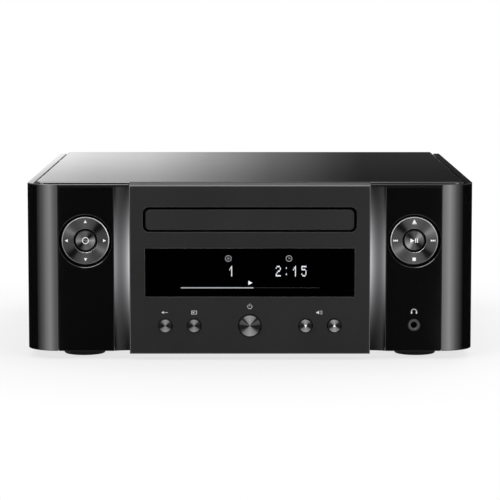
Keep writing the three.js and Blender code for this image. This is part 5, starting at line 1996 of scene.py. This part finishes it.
@dataclass
class RearTerminals:
    """What stands out of the rear panel: posts, nuts, sockets, aerials and screws."""

    face: float = 135.7
    seam: float = 0.3
    flange: float = 1.6
    speaker_x: Span = (-99.0, -16.0)
    speaker_z: Span = (23.0, 45.0)
    speaker_wall: float = 2.0
    speaker_inside: float = 124.5
    collar: Point = (7.2, 2.0)
    post_x: Sequence[float] = (-88.0, -69.0, -46.0, -27.0)
    post_z: float = 34.0
    post_end: float = 15.8
    post_radius: float = 3.0
    post_bore: Point = (2.0, 11.0)
    nut_radius: float = 6.5
    nut_grooves: int = 12
    groove_depth: float = 0.45
    nut_hole: float = 3.08
    line_centre: Point = (8.0, 26.0)
    line_pitch: float = 15.0
    line_margin: float = 7.5
    line_inside: float = 122.5
    line_base: Point = (6.2, 0.8)
    line_barrel: Span = (3.4, 4.15)
    line_core: Span = (1.7, 3.45)
    line_length: float = 8.4
    aerial: Point = (60.0, 86.0)
    aerial_washer: Point = (8.0, 1.2)
    aerial_length: float = 9.0
    thread: Triple = (4.8, 4.45, 0.6)
    thread_turns: int = 14
    aerial_bore: float = 1.4
    antenna: Triple = (123.0, 98.0, 50.0)
    antenna_gap: float = 3.0
    antenna_thickness: float = 7.0
    antenna_radii: Point = (5.0, 4.0)
    antenna_hole: float = 2.58
    screw_radius: float = 2.9
    screw_heights: Span = (0.9, 1.5)
    screw_spots: Sequence[Point] = (
        (-128, 104), (-64, 104), (0, 104), (64, 104), (128, 60), (-128, 60), (-128, 14), (128, 14),
        (-60, 14), (48, 14), (40, 60),
    )

    @property
    def plate(self) -> Span:
        """Front and back of the terminals' plates along Y."""
        front = self.face + self.seam
        return (front, front + self.flange)

    def speaker_block(self) -> None:
        """Builds the speaker terminal block."""
        front, back = self.plate
        outer = rounded_box(self.speaker_x, self.speaker_z, 1.5, 5)
        body = Body().plate(FRONT, outer, (back, front), (0.4, 0.0))
        wall = self.speaker_wall
        inside = [(low + wall, high - wall) for low, high in (self.speaker_x, self.speaker_z)]
        body.block(inside[0], (self.speaker_inside, front + 0.4), inside[1])
        end = self.face + self.post_end
        radius, (bore, depth) = self.post_radius, self.post_bore
        shaft = [(0, front, 0), (radius, front, 0), (radius, end, 0.3)]
        shaft += [(bore, end, 0.1), (bore, end - depth, 0), (0, end - depth, 0)]
        wide, low, high = self.collar[0], back - 0.5, back + self.collar[1]
        collar = softened([(0, low, 0), (wide, low, 0), (wide, high, 0.4), (0, high, 0)])
        for number, x in enumerate(self.post_x):
            body.turned(FRONT, collar, (x, self.post_z), 48, skin=1 + number % 2)
            body.turned(FRONT, softened(shaft), (x, self.post_z), 40, skin=3)
        finishes = [MOULDED, RED_PLASTIC, MOULDED, GOLD]
        body.piece("speaker_terminals", "root", finishes, ["speaker_block"])

    def speaker_nut(self, number: int, x: float) -> None:
        """Builds one thumb nut.

        Args:
            number: Its number.
            x: Its place along X.
        """
        front = self.plate[1] + self.collar[1] + self.seam
        back = self.face + self.post_end - 1
        loop = []
        steps = 8 * self.nut_grooves
        for index in range(steps):
            angle = 2 * math.pi * index / steps
            groove = max(0.0, math.cos(self.nut_grooves * angle)) ** 2
            radius = self.nut_radius - self.groove_depth * groove
            loop.append((x + radius * math.cos(angle), self.post_z + radius * math.sin(angle)))
        holes = [circle((x, self.post_z), self.nut_hole, 40)]
        body = Body().plate(FRONT, loop, (front, back), (0.3, 0.6), holes=holes)
        name = f"speaker_nut_{number}"
        body.piece(f"{name}_grip", name, [GOLD], [name])

    def line_sockets(self) -> None:
        """Builds the block of line sockets."""
        x, z = self.line_centre
        front, back = self.plate
        half_x, half_z = self.line_pitch + self.line_margin, self.line_pitch / 2 + self.line_margin
        outer = rounded_box((x - half_x, x + half_x), (z - half_z, z + half_z), 1.0, 4)
        body = Body().plate(FRONT, outer, (back, front), (0.3, 0.0))
        wall = self.flange
        inside_x = (x - half_x + wall, x + half_x - wall)
        inside_z = (z - half_z + wall, z + half_z - wall)
        body.block(inside_x, (self.line_inside, front + 0.4), inside_z)
        end = back + self.line_length
        wide, low, high = self.line_base[0], back - 0.3, back + self.line_base[1]
        base = softened([(0, low, 0), (wide, low, 0), (wide, high, 0.3), (0, high, 0)])
        inner, outer = self.line_barrel
        barrel = [(inner, front, 0), (outer, front, 0), (outer, end, 0.25), (inner, end, 0.15)]
        inner, outer = self.line_core
        tip = end - 0.6
        core = [(inner, front, 0), (outer, front, 0), (outer, tip, 0.1), (inner, tip, 0.1)]
        for column in (-1, 0, 1):
            for row in (-1, 1):
                spot = (x + column * self.line_pitch, z + row * self.line_pitch / 2)
                skin = 2 if row > 0 else 3
                body.turned(FRONT, base, spot, 40, skin=skin)
                body.turned(FRONT, softened(barrel), spot, 40, skin=1)
                body.turned(FRONT, softened(core), spot, 40, skin=skin)
        finishes = [MOULDED, NICKEL, WHITE_PLASTIC, RED_PLASTIC]
        body.piece("line_sockets", "root", finishes, ["line_socket_block"])

    def aerial_socket(self) -> None:
        """Builds the threaded aerial socket."""
        front = self.plate[0]
        radius, thickness = self.aerial_washer
        back = front + thickness
        body = Body().plate(FRONT, circle(self.aerial, radius, 6), (back, front), (0.2, 0.0))
        start, end = self.face - self.aerial_length, back + self.aerial_length
        crest, root, pitch = self.thread
        thread = [(self.aerial_bore, start), (crest, start), (crest, back)]
        for index in range(self.thread_turns):
            y = back + pitch / 2 + index * pitch
            thread += [(crest, y), (root, y + pitch / 2)]
        thread += [(crest, end - 0.3), (crest - 0.3, end), (self.aerial_bore, end)]
        body.turned(FRONT, thread, self.aerial, 40)
        body.piece("aerial_socket_barrel", "root", [NICKEL], ["aerial_socket"])

    def folding_antenna(self, hand: Hand) -> None:
        """Builds one folding aerial.

        Args:
            hand: Its side.
        """
        x, z, length = self.antenna
        x *= hand.value
        front = self.face + self.antenna_gap + self.seam
        ends = (front, front + self.antenna_thickness)
        wide, narrow = self.antenna_radii
        tip = (x, z - length + narrow)
        loop = arc((x, z), (wide, wide), 0, 180, 24) + arc(tip, (narrow, narrow), 180, 360, 24)
        holes = [circle((x, z), self.antenna_hole, 32)]
        body = Body().plate(FRONT, loop, ends, (0.6, 1.2), holes=holes)
        name = f"{hand.word}_antenna"
        body.piece(f"{name}_blade", name, [MOULDED], [name])

    def screws(self) -> None:
        """Builds the screw heads of the rear panel."""
        face, radius = self.face, self.screw_radius
        low, high = self.screw_heights
        head = softened(
            [(0, face, 0), (radius, face, 0), (radius, face + low, 0.5), (0, face + high, 0)]
        )
        cross = [(0.35, 1.6), (0.35, 0.35), (1.6, 0.35), (1.6, -0.35), (0.35, -0.35), (0.35, -1.6)]
        cross += [(-u, -v) for u, v in cross]
        body = Body()
        for x, z in self.screw_spots:
            body.turned(FRONT, head, (x, z), 32)
            loop = [(x + u, z + v) for u, v in cross]
            body.plate(FRONT, loop, (face + 1.2, face + 1.56), skin=1)
        body.piece("rear_screws", "root", [NICKEL, MOULDED])

    def build(self) -> None:
        """Builds every piece behind the rear panel."""
        self.speaker_block()
        for number, x in enumerate(self.post_x):
            self.speaker_nut(number + 1, x)
        self.line_sockets()
        self.aerial_socket()
        for hand in Hand:
            self.folding_antenna(hand)
        self.screws()


@dataclass
class CarriedSolids:
    """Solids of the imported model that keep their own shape."""

    def build(self) -> None:
        """Gives each solid that is still shown the finish of its slot."""
        for name, item in frame["nodes"].items():
            if item.hide_render:
                continue
            item.data.materials.clear()
            item.data.materials.append(SLOT_FINISH[slot_of(name)].material())
            log.info("%s: own solid", name)


# Studio


@dataclass(frozen=True)
class Lamp:
    """One soft lamp: its name, its place and side in metres, and its power in watts."""

    name: str
    place: Place
    size: float
    power: float


@dataclass
class Studio:
    """Pale floor, soft lamps, cards that only reflections see, and the camera."""

    plain_level: float = 0.42
    radius: float = 1.6
    rise: Span = (-1.5, 1.7)
    columns: int = 180
    eye: Place = (0.0001, -1.625, 0.23)
    pitch: float = 6.222
    lens: float = 171.7
    peak: float = 3.0
    above_x: Span = (-1.55, 1.1)
    above_y: Span = (-1.0, 1.3)
    above_z: float = 1.4
    above_peak: float = 6.5
    behind_half: float = 0.45
    behind_y: float = 0.6
    behind_z: Span = (0.112, 0.6)
    behind_peak: float = 1.8
    floor_half: float = 30.0
    floor_tone: float = 0.97
    aim: Place = (0.0, 0.0, 0.06)
    front_stops: Sequence[Point] = (
        (0.0, 0.004), (9.0, 0.004), (9.8, 0.36), (20, 0.55), (33, 0.95), (45, 0.67), (55, 0.38),
        (72, 0.11), (78.5, 0.06), (79.5, 0.003), (180, 0.003),
    )
    low_stops: Sequence[Point] = (
        (0.0, 0.26), (0.28, 0.17), (0.375, 0.0), (0.468, 0.0), (0.5, 0.12), (0.62, 0.16),
        (0.7, 0.08),
    )
    way_stops: Sequence[Point] = (
        (0.31, 0.9), (0.36, 0.97), (0.42, 0.9), (0.46, 0.8), (0.5, 1.0), (0.54, 1.5), (0.6, 1.0),
        (0.65, 0.83), (0.7, 0.7),
    )
    behind_stops: Sequence[Point] = (
        (-0.45, 1.0), (-0.23, 1.0), (-0.19, 0.78), (-0.149, 0.63), (-0.093, 0.52), (-0.038, 0.305),
        (0.0, 0.188), (0.019, 0.135), (0.076, 0.05), (0.104, 0.026), (0.45, 0.017),
    )
    lamps: Sequence[Lamp] = (
        Lamp("lamp_key", (-1.0, -1.3, 1.5), 1.3, 9.0),
        Lamp("lamp_fill", (1.2, -1.2, 1.1), 1.3, 7.0),
        Lamp("lamp_top", (0.0, 0.3, 1.9), 1.4, 9.0),
        Lamp("lamp_rear", (0.5, 1.6, 0.9), 1.2, 14.0),
    )

    def card(self, item: Item, graph: Graph, level: Socket, gain: float) -> None:
        """Gives a card its light, and lets only reflections see it.

        Args:
            item: The card.
            graph: Graph of its material.
            level: Its level from 0 to 1.
            gain: Strength at level 1.
        """
        self.show(graph, graph.node("Emission", {"Color": level, "Strength": gain}))
        for kind in ("camera", "diffuse", "shadow", "volume_scatter"):
            setattr(item, f"visible_{kind}", False)

    def sheet(
        self, names: tuple[str, str], corners: Sequence[Place], faces: Sequence[tuple]
    ) -> tuple[Item, Graph]:
        """Makes a plain sheet in metres, with an empty node material.

        Args:
            names: Its name, and that of its material.
            corners: Its corners.
            faces: Its faces.

        Returns:
            The sheet and its material's graph.
        """
        mesh = bpy.data.meshes.new(names[0])
        mesh.from_pydata(corners, [], faces)
        item = bpy.data.objects.new(names[0], mesh)
        bpy.context.scene.collection.objects.link(item)
        material = bpy.data.materials.new(names[1])
        material.use_nodes = True
        material.node_tree.nodes.clear()
        mesh.materials.append(material)
        return item, Graph(material.node_tree)

    def show(self, graph: Graph, shader: Node, target: str = "Material") -> None:
        """Joins a shader to the output of its tree.

        Args:
            graph: Graph of the tree.
            shader: The shader's node.
            target: Kind of the output, a material's or the world's.
        """
        output = graph.node(f"Output{target}")
        graph.tree.links.new(shader.outputs[0], output.inputs[0])

    def surround(self) -> None:
        """Builds the ring of cards round the object."""
        corners, faces = [], []
        columns, (bottom, top) = self.columns, self.rise
        for column in range(columns):
            angle = 2 * math.pi * column / columns
            for z in self.rise:
                corners.append((self.radius * math.sin(angle), -self.radius * math.cos(angle), z))
            near, far = 2 * column, 2 * ((column + 1) % columns)
            faces.append((near, far, far + 1, near + 1))
        item, graph = self.sheet(("card_surround", "card_surround_light"), corners, faces)
        parts = graph.parts(graph.spot())
        turn = graph.math("ARCTAN2", parts[0], graph.times(parts[1], -1.0))
        share = graph.math("DIVIDE", graph.math("ABSOLUTE", turn), math.pi)
        around = graph.ramp(share, [(angle / 180, grey) for angle, grey in self.front_stops])
        height = graph.scaled(parts[2], 1 / (top - bottom), -bottom / (top - bottom))
        band = graph.ramp(height, ((0.25, 0.06), (0.34, 0.2), (0.385, 1.0), (0.62, 1.0), (0.8, 0.3)))
        beside = graph.ramp(share, ((0.0, 0.2), (0.42, 0.2), (0.5, 1.0)))
        low = graph.times(graph.ramp(height, self.low_stops), beside)
        high = graph.ramp(height, ((0.7, 0.0), (0.76, 0.45), (0.86, 0.45), (0.92, 0.1)))
        way = graph.scaled(turn, 0.5 / math.pi, 0.5)
        front = graph.ramp(
            way, ((0.0, 0.3), (0.2, 0.4), (0.4, 0.9), (0.5, 1.0), (0.65, 0.7), (0.71, 0.0))
        )
        bright = graph.times(around, graph.ramp(way, self.way_stops))
        sides = graph.scaled(bright, band, low)
        self.card(item, graph, graph.scaled(high, front, sides), self.peak)

    def overhead(self) -> None:
        """Builds the card above."""
        corners = [(x, y, self.above_z) for x, y in box_loop(self.above_x, self.above_y)]
        item, graph = self.sheet(("card_overhead", "card_overhead_light"), corners, [(0, 1, 2, 3)])
        parts = graph.parts(graph.spot())
        across = graph.scaled(parts[0], 0.5, 0.5)
        stops = ((0.3, 1.0), (0.42, 1.0), (0.5, 0.75), (0.55, 0.42), (0.6, 0.17), (0.8, 0.15))
        side = graph.ramp(across, stops)
        near, far = self.above_y
        depth = graph.scaled(parts[1], 1 / (far - near), -near / (far - near))
        along = graph.ramp(depth, ((0.0, 1.0), (0.48, 1.0), (0.54, 0.03), (0.74, 0.03), (0.82, 1.0)))
        self.card(item, graph, graph.times(side, along), self.above_peak)

    def back_card(self) -> None:
        """Builds the graded card that the top plate shows."""
        half = self.behind_half
        corners = [(x, self.behind_y, z) for x, z in box_loop((-half, half), self.behind_z)]
        item, graph = self.sheet(("card_behind", "card_behind_light"), corners, [(0, 1, 2, 3)])
        parts = graph.parts(graph.spot())
        across = graph.scaled(parts[0], 0.5 / half, 0.5)
        side = graph.ramp(across, [(0.5 + 0.5 * x / half, grey) for x, grey in self.behind_stops])
        height = graph.math("DIVIDE", parts[2], 0.4)
        rise = graph.ramp(height, ((0.3, 1.0), (0.355, 0.96), (0.384, 0.8), (0.414, 0.57), (0.6, 0.3)))
        self.card(item, graph, graph.times(side, rise), self.behind_peak)

    def floor(self) -> None:
        """Builds the pale floor."""
        ends, tone = (-self.floor_half, self.floor_half), self.floor_tone
        corners = [(x, y, 0) for x, y in box_loop(ends, ends)]
        item, graph = self.sheet(("floor", "floor_white"), corners, [(0, 1, 2, 3)])
        parts = graph.parts(graph.spot())
        squares = (graph.math("POWER", part, 2.0) for part in parts[:2])
        distance = graph.math("POWER", graph.math("ADD", *squares), 0.5)
        away = graph.ramp(distance, ((0.2, 0.0), (0.34, 1.0)))
        matt = graph.node("BsdfDiffuse", {"Color": (tone, tone, tone, 1)})
        bright = graph.node("Emission", {"Color": (1, 1, 1, 1), "Strength": 1.0})
        seen = graph.node("LightPath").outputs["Is Camera Ray"]
        share = graph.times(graph.scaled(away, 0.3, 0.7), seen)
        shaders = {1: matt.outputs[0], 2: bright.outputs[0]}
        self.show(graph, graph.node("MixShader", {0: share, **shaders}))
        item.visible_glossy = False
        item.visible_transmission = False

    def world(self) -> None:
        """Sets the plain surroundings, white where seen or reflected."""
        world = bpy.data.worlds.new("surroundings")
        bpy.context.scene.world = world
        world.use_nodes = True
        world.node_tree.nodes.clear()
        graph = Graph(world.node_tree)
        path = graph.node("LightPath").outputs
        seen = graph.math("MAXIMUM", path["Is Camera Ray"], path["Is Glossy Ray"])
        level = graph.scaled(seen, 1 - self.plain_level, self.plain_level)
        sky = graph.node("Background", {"Color": (1, 1, 1, 1), "Strength": level})
        self.show(graph, sky, "World")

    def lamp(self, lamp: Lamp) -> None:
        """Adds a soft lamp that looks at the object.

        Args:
            lamp: The lamp.
        """
        data = bpy.data.lights.new(lamp.name, "AREA")
        data.shape = "SQUARE"
        data.size = lamp.size
        data.energy = lamp.power
        item = bpy.data.objects.new(lamp.name, data)
        item.location = lamp.place
        away = Vector(lamp.place) - Vector(self.aim)
        item.rotation_euler = away.to_track_quat("Z", "Y").to_euler()
        item.visible_glossy = False
        bpy.context.scene.collection.objects.link(item)

    def camera(self) -> None:
        """Places the camera at the photographed angle."""
        data = bpy.data.cameras.new("camera")
        data.lens = self.lens
        data.sensor_width = 36.0
        data.clip_start = 0.05
        data.clip_end = 100.0
        item = bpy.data.objects.new("camera", data)
        item.location = self.eye
        item.rotation_euler = (math.radians(90 - self.pitch), 0, 0)
        bpy.context.scene.collection.objects.link(item)
        bpy.context.scene.camera = item

    def build(self) -> None:
        """Builds the studio."""
        bpy.context.scene.view_settings.view_transform = "Standard"
        self.world()
        self.floor()
        self.surround()
        self.overhead()
        self.back_card()
        for lamp in self.lamps:
            self.lamp(lamp)
        self.camera()
        log.info("studio: ready")


def main() -> None:
    """Builds the receiver and its studio in order."""
    logging.basicConfig(level=logging.INFO, format="%(name)s %(message)s")
    CaseShell().build()
    CentrePanel().build()
    DisplayFace().build()
    PadSide(Hand.LEFT, "nav_ring", "enter_button").build()
    PadSide(Hand.RIGHT, "transport_ring", "play_button").build()
    DiscTray().build()
    RearTerminals().build()
    CarriedSolids().build()
    Studio().build()


if __name__ == "__main__":
    main()
